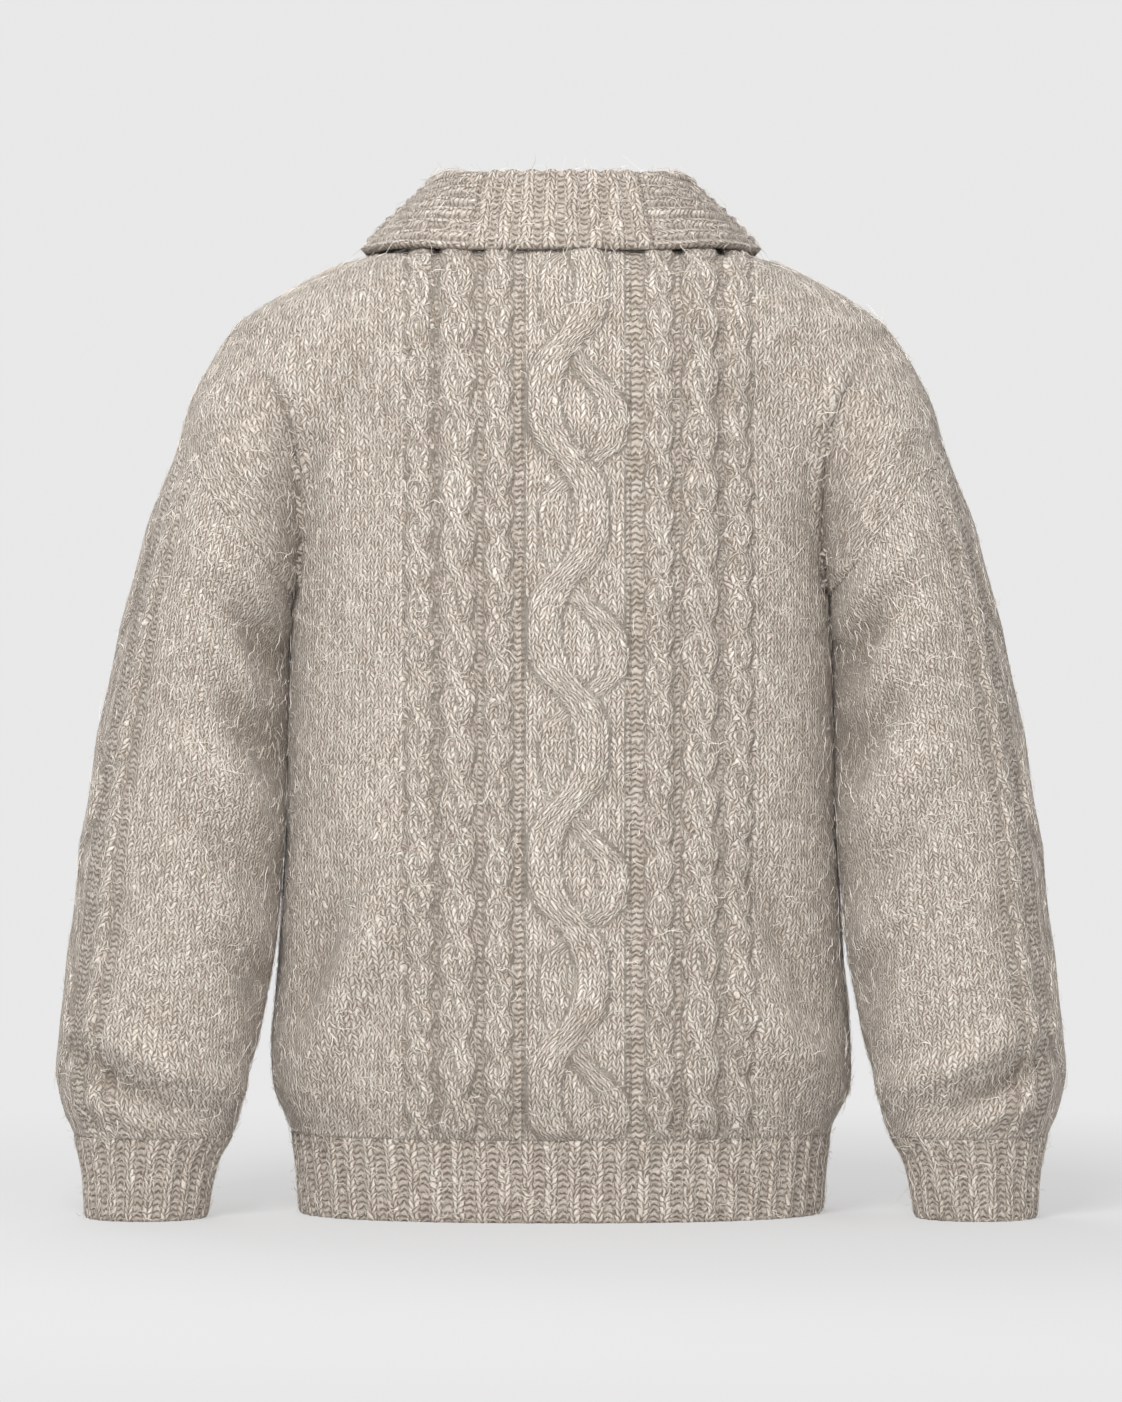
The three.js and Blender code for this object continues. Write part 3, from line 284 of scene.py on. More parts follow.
def folds_height(folds: tuple[Fold, ...], x: Array, z: Array) -> Array:
    """Returns the summed height of several folds."""
    return FOLD_STRENGTH * sum((fold.height(x, z) for fold in folds), np.zeros(np.shape(x)))


def hollow(folds: Array) -> Array:
    """Returns painted shade for troughs: a share of 1 for each ten millimetres of their depth."""
    return np.clip(-folds / 10, 0, 1)


BACK_FOLDS = (
    Fold(((114, 247), (132, 185), (159, 130), (180, 96)), 16, 8.5),
    Fold(((152, 234), (166, 178), (180, 137)), 12, -5.5),
    Fold(((96, 210), (116, 160), (140, 112)), 13, -2.6),
    Fold(((-123, 165), (-151, 123), (-186, 92)), 16, 8.5),
    Fold(((-130, 254), (-158, 178), (-179, 137)), 13, -5.5),
    Fold(((-108, 140), (-130, 104), (-150, 84)), 12, -2.4),
    Fold(((222, 608), (188, 580), (166, 545), (156, 500)), 16, 3.6),
    Fold(((-224, 602), (-190, 574), (-168, 540), (-157, 494)), 16, 3.4),
    Fold(((246, 566), (224, 530), (206, 500)), 13, 2.6),
    Fold(((-244, 560), (-224, 528), (-205, 494)), 13, 2.4),
    Fold(((150, 590), (128, 545), (120, 495)), 22, -1.6),
    Fold(((-146, 600), (-132, 548), (-126, 500)), 22, -1.5),
    Fold(((95, 120), (60, 96), (18, 86)), 10, 1.8),
    Fold(((-40, 100), (-88, 108), (-120, 128)), 11, 1.6),
    Fold(((80, 96), (40, 78), (0, 74)), 9, -1.4),
    Fold(((168, 330), (150, 285), (140, 250)), 18, 1.8),
    Fold(((-165, 360), (-150, 310), (-138, 268)), 18, 1.6),
)
FRONT_FOLDS = (
    Fold(((118, 236), (137, 180), (165, 118)), 15, 6),
    Fold(((-120, 210), (-146, 150), (-183, 98)), 15, 6),
    Fold(((150, 226), (164, 176), (180, 130)), 12, -2.6),
    Fold(((220, 604), (188, 572), (166, 530)), 16, 3.6),
    Fold(((-222, 606), (-189, 577), (-167, 540)), 16, 3.6),
    Fold(((100, 110), (52, 92), (10, 90)), 11, 1.6),
    Fold(((-20, 130), (-70, 112), (-110, 118)), 12, 1.4),
    Fold(((-160, 340), (-146, 290), (-132, 255)), 18, 1.8),
)
SLEEVE_BACK_FOLDS = (
    Fold(((240, 464), (214, 434), (195, 406)), 11, 6),
    Fold(((230, 432), (208, 402), (194, 376)), 11, -6),
    Fold(((262, 424), (232, 378), (206, 348)), 14, 4),
    Fold(((314, 134), (270, 108), (240, 94), (222, 90)), 14, 9),
    Fold(((262, 330), (225, 292), (200, 268)), 15, 6.5),
    Fold(((240, 380), (214, 338), (199, 312)), 13, -7),
    Fold(((322, 84), (292, 72), (262, 66)), 9, 3.4),
    Fold(((334, 114), (300, 92), (268, 72)), 10, -6),
    Fold(((224, 196), (212, 166), (208, 140)), 12, -4),
    Fold(((248, 240), (222, 204), (206, 186)), 14, 3.8),
    Fold(((250, 272), (226, 248), (204, 226)), 12, -3.4),
    Fold(((208, 424), (203, 380), (200, 330), (200, 280)), 10, -2.5),
    Fold(((286, 400), (280, 350), (284, 290)), 20, -1.8),
    Fold(((300, 240), (304, 200), (312, 160)), 20, -2),
    Fold(((316, 180), (286, 152), (252, 138)), 14, 2.2),
)
SLEEVE_FRONT_FOLDS = (
    Fold(((250, 446), (224, 398), (204, 350)), 16, 6),
    Fold(((308, 122), (252, 100), (224, 92)), 13, 6),
    Fold(((256, 310), (226, 270), (206, 240)), 14, 4),
    Fold(((244, 366), (218, 322), (202, 298)), 13, -4),
    Fold(((252, 210), (226, 180), (210, 160)), 13, 3),
    Fold(((318, 106), (286, 92), (250, 82)), 9, -2.8),
)


CREASE = columns(
    "z place deep",
    (425, 183, 0.8), (470, 182, 1), (512, 182, 1), (547, 185, 0.8), (568, 192, 0.5), (594, 208, 0),
)


def crease_depth(reach: Array, z: Array) -> Array:
    """Crease where the arm leaves the body: steep on the body's side and a long slope on the arm's.

    Args:
        reach: Distance from the middle plane.
        z: Height.

    Returns:
        The crease's share at each place, 1 at its deepest.
    """
    place = np.interp(z, CREASE["z"], CREASE["place"])
    deep = np.interp(z, CREASE["z"], CREASE["deep"]) * smooth_step(420, 440, z)
    away = reach - place
    return deep * np.where(away < 0, np.exp(-((away / 4) ** 2)), np.exp(-np.clip(away, 0, None) / 14))


@dataclass(frozen=True)
class Relief:
    """What a knit layout gives at each place: all arrays of one shape."""

    rise: Array
    # painted shade: how far the colour is darkened in gaps, grooves, creases and troughs
    painted_shade: Array
    purl: Array
    shift: Array

    def hair(self) -> Array:
        """Returns the share of loose fibres at each place: all on plain knit and fewer on purl and cables."""
        return np.where((self.purl > 0.5) | (np.abs(self.rise - PLAIN_RISE) > 1e-6), CABLE_HAIR, 1.0)


def dome(offset: Array) -> Array:
    """Returns a round back across a strand: 1 at its middle and 0 from its edges on."""
    return np.sqrt(np.clip(1 - offset**2, 0, 1))


UNDER_PATH = columns(
    "turn across",
    (0.0, -21), (0.1, -24), (0.2, -21), (0.3, -4), (0.4, 15), (0.5, 17), (0.64, 15), (0.75, 10), (0.85, 1),
    (0.93, -12), (1.0, -21),
)


@dataclass(frozen=True)
class WaveCable:
    """Middle cable. A front strand swings from side to side over a back strand, which lies on plain knit."""

    centre: float = 7.5
    swing: float = 16.4
    strand: float = 11.5
    period: float = 157.8
    left_at: float = 407.0
    sharpness: float = 1.2
    half_width: float = 37.0
    rise: float = 6.4

    def relief(self, across: Array, along: Array) -> Relief:
        """Highest of three layers: the front strand, the back strand and a low field between their bends.

        The front strand's middle is a cosine of the distance along, sharpened so that it crosses quickly. The back
        strand follows its own path, drawn through a table over one turn.

        Args:
            across: Distance from the layout's middle towards the viewer's left.
            along: Distance up the cloth.

        Returns:
            The cable's relief.
        """
        turn = (self.left_at - along) / self.period
        bend = np.tanh(self.sharpness * np.cos(2 * np.pi * turn)) / np.tanh(self.sharpness)
        front_at = self.centre + self.swing * bend
        under_at = self.centre - 7 + np.interp(turn % 1, UNDER_PATH["turn"], UNDER_PATH["across"])
        lean = np.abs(np.sin(2 * np.pi * turn))
        front = dome((across - front_at) / (self.strand * (1 + 0.25 * lean)))
        under = dome((across - under_at) / (self.strand * 1.02))
        field = dome((across - self.centre + 5) / 34.0)
        heights = np.stack([
            self.rise * front**0.7 * (front > 0.12), 0.54 * self.rise * under**0.9, 0.36 * self.rise * field,
        ])
        shift = np.stack([front_at, under_at, np.full_like(front_at, self.centre)])
        which = heights.argmax(axis=0)
        top = heights.max(axis=0)
        # Painted shadow below and beside the front strand where it leans across, painted shade beside the back
        # strand, and a painted shade of 0.75 on the purl ground between the strands.
        reach = np.abs(across - front_at) - self.strand * (1 + 0.25 * lean)
        slope = np.roll(front_at, 1, axis=0) - np.roll(front_at, -1, axis=0)
        below = np.sign(across - front_at) == -np.sign(slope)
        shade = np.exp(-np.clip(reach, 0, None) / 4.0) * np.where(below, 0.95, 0.5) * smooth_step(0.15, 0.7, lean)
        beside = np.exp(-np.clip(np.abs(across - under_at) - self.strand, 0, None) / 2.5) * 0.4
        painted_shade = np.choose(which, [np.zeros_like(top), shade, np.maximum(shade, beside)])
        covered = top > 0.25
        painted_shade = np.where(covered, painted_shade, 0.75)
        return Relief(top, painted_shade, np.where(covered, 0.0, 1.0), np.take_along_axis(shift, which[None], axis=0)[0])


@dataclass(frozen=True)
class Rope:
    """Two-strand rope cable. Its strands run side by side and cross at every pitch, always the same one on top."""

    centre: float
    half_width: float
    pitch: float
    rise: float
    crossing: float = 0.82

    def relief(self, offset: Array, along: Array) -> Relief:
        """Higher of two strands: the top one slides from side to side in the crossing, the other one dips there.

        Args:
            offset: Distance from the rope's middle.
            along: Distance up the cloth.

        Returns:
            The rope's relief.
        """
        uneven = 0.09 * self.pitch * np.sin(along / (1.7 * self.pitch) + self.centre)
        place = ((along + uneven) / self.pitch) % 1
        slide = 0.3 * smooth_step(0, self.crossing, place) + 0.7 * place
        crossed = 1 - np.abs(2 * slide - 1)
        half = (0.58 - 0.03 * crossed) * self.half_width
        over_at = (2 * slide - 1) * (self.half_width - half)
        over = dome((offset - over_at) / half)
        under = dome((offset + over_at) / half) * (0.9 - 0.3 * crossed)
        top = np.maximum(over, under)
        ends = np.minimum(place, np.abs(place - self.crossing))
        dip = 0.12 * np.exp(-((ends / 0.06) ** 2))
        # Painted shade between the strands, under the top one at the crossing and below it, and at the ends of each
        # crossing.
        below = np.exp(-np.clip((offset - over_at) / half - 1, 0, None) * 3) * (under > over) * (offset > over_at)
        painted_shade = np.clip(0.95 * (1 - top) ** 1.5 + 0.25 * (under > over) * crossed + 0.3 * below + dip, 0, 1)
        shift = np.where(over >= under, over_at, -over_at)
        rise = self.rise * top**0.8 * (1 - dip)
        return Relief(rise, painted_shade, np.zeros_like(rise), shift)


ROPES = (Rope(55, 10.5, 27, 4.6), Rope(83, 13, 36, 5.4), Rope(109, 10.5, 28, 4.4))
MIDDLE_CABLE = WaveCable()


def blank_relief(shape: tuple[int, ...], purl: float) -> Relief:
    """Returns a flat relief of plain knit, or of purl at 1, with a painted shade of 0.22 on plain knit and 0.82 on
    purl.
    """
    return Relief(np.zeros(shape), np.full(shape, 0.22 + 0.6 * purl), np.full(shape, purl), np.zeros(shape))


def mixed(mask: Array, first: Relief, second: Relief) -> Relief:
    """Returns the first relief where the mask holds, and the second elsewhere."""
    return Relief(
        np.where(mask, first.rise, second.rise),
        np.where(mask, first.painted_shade, second.painted_shade),
        np.where(mask, first.purl, second.purl),
        np.where(mask, first.shift, second.shift),
    )


def faded(relief: Relief, fade: Array) -> Relief:
    """Returns the relief with its rise drawn to that of plain knit where the fade is 0."""
    return Relief(PLAIN_RISE + (relief.rise - PLAIN_RISE) * fade, relief.painted_shade, relief.purl, relief.shift)


def cable_layout(across: Array, along: Array, cable: WaveCable) -> Relief:
    """Whole cable layout of a panel: the middle cable, three ropes on each side on purl, and plain knit beyond.

    Args:
        across: Distance from the layout's middle towards the viewer's left.
        along: Distance up the cloth.
        cable: The middle cable.

    Returns:
        The layout's relief.
    """
    result = blank_relief(np.shape(across), 1.0)
    plain = blank_relief(np.shape(across), 0.0)
    plain = Relief(plain.rise + PLAIN_RISE, plain.painted_shade, plain.purl, plain.shift)
    result = mixed(np.abs(across) >= CABLE_ZONE - 6, plain, result)
    for rope in ROPES:
        offset = across - np.sign(across) * rope.centre
        result = mixed(np.abs(offset) < rope.half_width, rope.relief(offset, along), result)
    inside = np.abs(across - cable.centre + 5) < cable.half_width
    return mixed(inside, cable.relief(across, along), result)


class Form:
    """The garment's plain form: body, arms, neck and shoulders as functions of place."""

    ARM_LOW = (187.0, 430.0)
    ARM_HIGH = (267.0, 533.0)
    ARM_HALF_DEPTH = 85.0

    def __init__(self) -> None:
        """Makes the smooth curves of the tables."""
        self.half = curve(TORSO, "half")
        self.depth = {Face.BACK: curve(TORSO, "back"), Face.FRONT: curve(TORSO, "front")}
        self.power = curve(TORSO, "power")
        self.outline = curve(OUTLINE, "half")
        self.inner_edge = curve(INNER_EDGE, "half")
        self.arm_wide = curve(ARM, "wide")
        self.arm_deep = curve(ARM, "deep")
        self.sleeve_centre = curve(SLEEVE, "centre", "t")
        self.sleeve_deep = curve(SLEEVE, "deep", "t")
        self.cuff_centre = curve(CUFF, "centre")
        self.cuff_deep = curve(CUFF, "deep")
        self.neck = curve(NECK, "z", "half")

    def shoulder_height(self, x: Array) -> Array:
        """Returns the height at which the shoulder's outline is as wide as x."""
        z = np.linspace(self.ARM_HIGH[1], NECK_HEIGHT, 2000)
        return np.interp(-np.asarray(x), -self.outline(z), z)

    def armhole(self, z: Array) -> tuple[Array, Array, Array]:
        """Seam of the armhole, a tilted ellipse.

        Args:
            z: Heights from the underarm to the shoulder's end.

        Returns:
            The seam's x, its depth and its share of the way up.
        """
        share = (z - self.ARM_LOW[1]) / (self.ARM_HIGH[1] - self.ARM_LOW[1])
        x = self.ARM_LOW[0] + share * (self.ARM_HIGH[0] - self.ARM_LOW[0])
        depth = self.ARM_HALF_DEPTH * np.sqrt(np.clip(1 - (2 * share - 1) ** 2, 0, 1))
        return x, depth, share

    def panel_half(self, z: Array) -> Array:
        """Returns a panel's half width: side seam, then armhole, then shoulder."""
        low = z <= self.ARM_LOW[1]
        high = z >= self.ARM_HIGH[1]
        return np.where(low, self.half(z), np.where(high, self.outline(z), self.armhole(z)[0]))

    def round_depth(self, x: Array, z: Array, face: Face) -> Array:
        """Depth of body and arm joined: the fourth root of the sum of their fourth powers.

        Args:
            x: Distance from the middle plane.
            z: Height.
            face: Back or front.

        Returns:
            Distance of the surface from the plane between back and front.
        """
        half = np.minimum(self.half(z), self.outline(z))
        power = self.power(z)
        body = self.depth[face](z) * np.clip(1 - (x / half) ** power, 0, 1) ** (1 / power)
        wide = self.arm_wide(z)
        offset = (x - self.outline(z) + wide) / wide
        arm = self.arm_deep(z) * np.sqrt(np.clip(1 - offset**2, 0, 1))
        arm = np.where(z > self.ARM_LOW[1], arm, 0)
        return (body**4 + arm**4) ** 0.25

    def panel_depth(self, x: Array, z: Array, face: Face) -> Array:
        """Depth of a panel's plain surface, drawn to the armhole's seam beside it.

        Args:
            x: Place across, on either side.
            z: Height.
            face: Back or front.

        Returns:
            Distance of the surface from the plane between back and front.
        """
        reach = np.abs(x)
        plain = self.round_depth(reach, z, face)
        edge_x, edge_depth, share = self.armhole(z)
        width = np.maximum(2, 30 * edge_depth / self.ARM_HALF_DEPTH)
        u = np.clip((reach - edge_x + width) / width, 0, 1)
        pull = u * u * (3 - 2 * u)
        level = plain * (1 - pull) + edge_depth * pull
        at_edge = self.round_depth(edge_x, z, face)
        ratio = np.where(at_edge > 0, edge_depth / np.maximum(at_edge, 1e-6), 1)
        scaled = plain * (1 + pull * (ratio - 1))
        high = smooth_step(0.35, 0.65, share)
        drawn = level * (1 - high) + scaled * high
        inside = (z > self.ARM_LOW[1]) & (z < self.ARM_HIGH[1])
        return np.where(inside, drawn, plain)

    def panel_points(self, x: Array, z: Array, face: Face) -> Array:
        """Returns points of a panel's plain surface."""
        return np.stack(np.broadcast_arrays(x, face.value * self.panel_depth(x, z, face), z), axis=-1)


FORM = Form()


@dataclass
class Shell:
    """Fine outer grid of one piece, with the data its finish reads at each point.

    wales and courses count stitches across and up. Purl is 1 on the knit's wrong side, and the shade painted into the
    colour is 1 in the deepest hollows.
    """

    outer: Array
    normals: Array
    wales: Array
    courses: Array
    purl: Array
    painted_shade: Array
    base: Array
    closed: bool
    thickness: float = CLOTH_THICKNESS
    coarse: int = 4
    hair: Array | float = 1.0

    def mesh(self, name: str) -> bpy.types.Object:
        """Makes the closed shell: outer grid, a coarser inner one behind it and rims between their borders.

        Args:
            name: Name of the object.

        Returns:
            The object, linked to the scene, with its stitch map and its two attributes.
        """
        rows, cols = self.outer.shape[:2]
        step = self.coarse
        inner_rows = np.arange(0, rows, step)
        inner_cols = np.arange(0, cols, step)
        pick = np.ix_(inner_rows, inner_cols)
        inner = self.base[pick] - self.thickness * self.normals[pick]
        span = cols - 1 if self.closed else cols
        inner_span = len(inner_cols) - 1 if self.closed else len(inner_cols)
        outer_ids = np.arange(rows)[:, None] * span + np.arange(cols)[None] % span
        inner_ids = rows * span + np.arange(len(inner_rows))[:, None] * inner_span
        inner_ids = inner_ids + np.arange(len(inner_cols))[None] % inner_span
        points = np.concatenate([self.outer[:, :span].reshape(-1, 3), inner[:, :inner_span].reshape(-1, 3)])
        outer_map = np.stack([self.wales, self.courses], axis=-1)
        maps = np.concatenate([outer_map.reshape(-1, 2), outer_map[pick].reshape(-1, 2)])
        outer_spots = np.arange(rows * cols).reshape(rows, cols)
        inner_spots = rows * cols + np.arange(len(inner_rows) * len(inner_cols)).reshape(inner.shape[:2])
        ids = np.concatenate([outer_ids.ravel(), inner_ids.ravel()])
        quads = np.concatenate([self._quads(outer_spots), self._quads(inner_spots)[:, ::-1]])
        rims = [self._rim(outer_spots[0], inner_spots[0], False), self._rim(outer_spots[-1], inner_spots[-1], True)]
        if not self.closed:
            rims.append(self._rim(outer_spots[:, 0], inner_spots[:, 0], True))
            rims.append(self._rim(outer_spots[:, -1], inner_spots[:, -1], False))
        rim = np.concatenate(rims)
        corners = np.concatenate([quads.ravel(), rim.ravel()])
        mesh = bpy.data.meshes.new(name)
        mesh.from_pydata(to_world(points).tolist(), [], [*ids[quads].tolist(), *ids[rim].tolist()])
        mesh.uv_layers.new(name="Stitches").data.foreach_set("uv", maps[corners].ravel().astype(np.float32))
        # the second attribute is painted shade; the hidden inner side gets 0.35 of it
        for label, values, inside in (("purl", self.purl, 1.0), ("painted_shade", self.painted_shade, 0.35)):
            every = np.concatenate([values[:, :span].ravel(), np.full(inner[:, :inner_span].size // 3, inside)])
            mesh.attributes.new(label, "FLOAT", "POINT").data.foreach_set("value", every.astype(np.float32))
        mesh.shade_smooth()
        obj = bpy.data.objects.new(name, mesh)
        bpy.context.scene.collection.objects.link(obj)
        return obj

    @staticmethod
    def _quads(spots: Array) -> Array:
        """Returns the grid's cells, turning left as seen from outside."""
        corners = (spots[:-1, :-1], spots[:-1, 1:], spots[1:, 1:], spots[1:, :-1])
        return np.stack(corners, axis=-1).reshape(-1, 4)

    def _rim(self, outer: Array, inner: Array, forwards: bool) -> Array:
        """Triangles between a fine border and the coarse border behind it: a fan on each inner point.

        Args:
            outer: Spots of the fine border.
            inner: Spots of the coarse border.
            forwards: Whether the rim runs the same way as the fine border.

        Returns:
            Triangles as rows of three spots.
        """
        segment = np.minimum(np.arange(len(outer) - 1) // self.coarse, len(inner) - 2)
        late = (np.arange(len(outer) - 1) % self.coarse) * 2 >= self.coarse
        fan = np.stack([outer[1:], outer[:-1], inner[segment + late]], axis=-1)
        starts = np.arange(len(inner) - 1)
        middles = outer[starts * self.coarse + self.coarse // 2]
        bridge = np.stack([inner[:-1], inner[1:], middles], axis=-1)
        triangles = np.concatenate([fan, bridge])
        return triangles[:, ::-1] if forwards else triangles


class RibProfile:
    """Rib across its repeat: a round knit ridge with a narrower purl groove."""

    @staticmethod
    def relief(share: Array, rise: float) -> Relief:
        """Ridge height as the cosine of the place in the repeat, flattened on top and sharp in the groove.

        Args:
            share: Place counted in repeats, with a groove at each whole number.
            rise: Height of the ridge over the groove.

        Returns:
            The rib's relief.
        """
        wave = 0.5 - 0.5 * np.cos(2 * np.pi * share)
        height = wave**0.6
        # Painted shade in the groove between the ribs.
        groove = np.exp(-((wave / 0.22) ** 2))
        return Relief(rise * height, 0.95 * groove, (wave < 0.16).astype(float), np.zeros_like(wave))


def relieved(base: Array, closed: bool, relief: Relief, extra: Array) -> tuple[Array, Array, Array]:
    """Moves a plain grid out along its normals by its relief and folds.

    Args:
        base: The plain grid.
        closed: Whether the last column meets the first.
        relief: The knit's relief.
        extra: Height of the folds.

    Returns:
        The raised grid, the plain grid's normals, and the grid with its folds alone.
    """
    ring = base[:, :-1] if closed else base
    normals = grid_normals(ring, closed)
    if closed:
        normals = np.concatenate([normals, normals[:, :1]], axis=1)
    folded = base + normals * extra[..., None]
    return folded + normals * relief.rise[..., None], normals, folded


@dataclass(frozen=True)
class Fuzz:
    """Loose fibres brushed out of the knit: thin curved ribbons that arch over it or stand off it."""

    per_square_metre: float = 33000
    shortest: float = 6.0
    longest: float = 16.0
    thinnest: float = 0.22
    thickest: float = 0.55
    standing: float = 0.12
    steps: int = 6

    def mesh(self, name: str, shell: Shell, seed: int) -> bpy.types.Object:
        """Grows fibres from random places, evenly for the surface's area, mostly along the wales.

        A fibre runs along its heading and bends off it with the square of the distance. One that arches has the
        height of a parabola, and one that stands rises with the power 1.4 of the share of its length.

        Args:
            name: Name of the object.
            shell: The piece they grow from.
            seed: Seed of the random numbers.

        Returns:
            The fibres, as one object with a shade from 0 to 1 on each.
        """
        rng = np.random.default_rng(seed)
        outer = shell.outer
        diagonal = outer[1:, 1:] - outer[:-1, :-1]
        other = outer[1:, :-1] - outer[:-1, 1:]
        area = 0.5 * np.linalg.norm(np.cross(diagonal, other), axis=-1) * (shell.hair + 0 * shell.purl)[1:, 1:]
        count = int(area.sum() * MM**2 * self.per_square_metre)
        cell = rng.choice(area.size, count, p=(area / area.sum()).ravel())
        row, col = np.divmod(cell, area.shape[1])
        up_share, across_share = rng.random((2, count, 1))
        low = outer[row, col] * (1 - across_share) + outer[row, col + 1] * across_share
        high = outer[row + 1, col] * (1 - across_share) + outer[row + 1, col + 1] * across_share
        root = low * (1 - up_share) + high * up_share
        normal = shell.normals[row, col]
        across = unit(outer[row, col + 1] - outer[row, col])
        up = np.cross(normal, across)
        heading = rng.normal(0, 0.95, (count, 1)) + np.pi / 2 * rng.choice([-1, 1], (count, 1))
        way = across * np.cos(heading) + up * np.sin(heading)
        beside = np.cross(normal, way)
        length = rng.uniform(self.shortest, self.longest, (count, 1))
        bend = rng.normal(0, 0.6, (count, 1)) * length
        stands = rng.random((count, 1)) < self.standing
        lift = np.where(stands, rng.uniform(0.6, 2.2, (count, 1)), rng.uniform(0.5, 1.3, (count, 1)))
        share = np.linspace(0, 1, self.steps + 1)[:, None, None]
        curl = 1.2 * np.sin(2 * np.pi * (share * rng.uniform(0.6, 1.9, (count, 1)) + rng.random((count, 1))))
        height = np.where(stands, share**1.4, 4 * share * (1 - share)) * lift - 0.25
        line = root + way * length * share + beside * (bend * share**2 + curl) + normal * height
        roll = rng.normal(0, 0.6, (count, 1))
        flat = beside * np.cos(roll) + normal * np.sin(roll)
        width = rng.uniform(self.thinnest, self.thickest, (count, 1)) * (1 - 0.6 * share**2)
        edges = np.stack([line - flat * width / 2, line + flat * width / 2], axis=2)
        points = to_world(edges.transpose(1, 0, 2, 3).reshape(-1, 3))
        first = np.arange(count)[:, None] * 2 * (self.steps + 1) + np.arange(self.steps)[None] * 2
        quads = np.stack([first, first + 1, first + 3, first + 2], axis=-1).reshape(-1, 4)
        mesh = bpy.data.meshes.new(name)
        mesh.from_pydata(points.tolist(), [], quads.tolist())
        tone = np.repeat(rng.random(count), 2 * (self.steps + 1))
        mesh.attributes.new("shade", "FLOAT", "POINT").data.foreach_set("value", tone.astype(np.float32))
        mesh.shade_smooth()
        obj = bpy.data.objects.new(name, mesh)
        bpy.context.scene.collection.objects.link(obj)
        return obj


FUZZ = Fuzz()


@dataclass
class KnitPiece:
    """One sewn piece: the CAD node it stands for, its flat cut and how it is held."""

    node: str
    slot: str
    flat: tuple[float, float]
    area: float | None = None
    rests_on: tuple[str, ...] = ()
    shell: Shell | None = field(default=None, init=False)

    def build(self) -> Shell:
        """Returns the piece's shell. Each kind of piece works out its own."""
        raise NotImplementedError

    def dress(self, finish: "WoolFinish") -> bpy.types.Object:
        """Builds the piece and its loose fibres, gives them their finish, hangs them on the frame's root body and
        hides the CAD node.

        Args:
            finish: The wool it is knitted of.

        Returns:
            The finished object.
        """
        self.shell = self.build()
        obj = self.shell.mesh(f"{self.node}_knit")
        obj.data.materials.append(finish.material())
        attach(obj, "root")
        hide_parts(self.node)
        fibres = FUZZ.mesh(f"{self.node}_fuzz", self.shell, len(bpy.data.objects))
        fibres.data.materials.append(finish.fibre_material())
        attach(fibres, "root")
        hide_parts(self.node)
        log.info("%s: %d faces", obj.name, len(obj.data.polygons))
        return obj


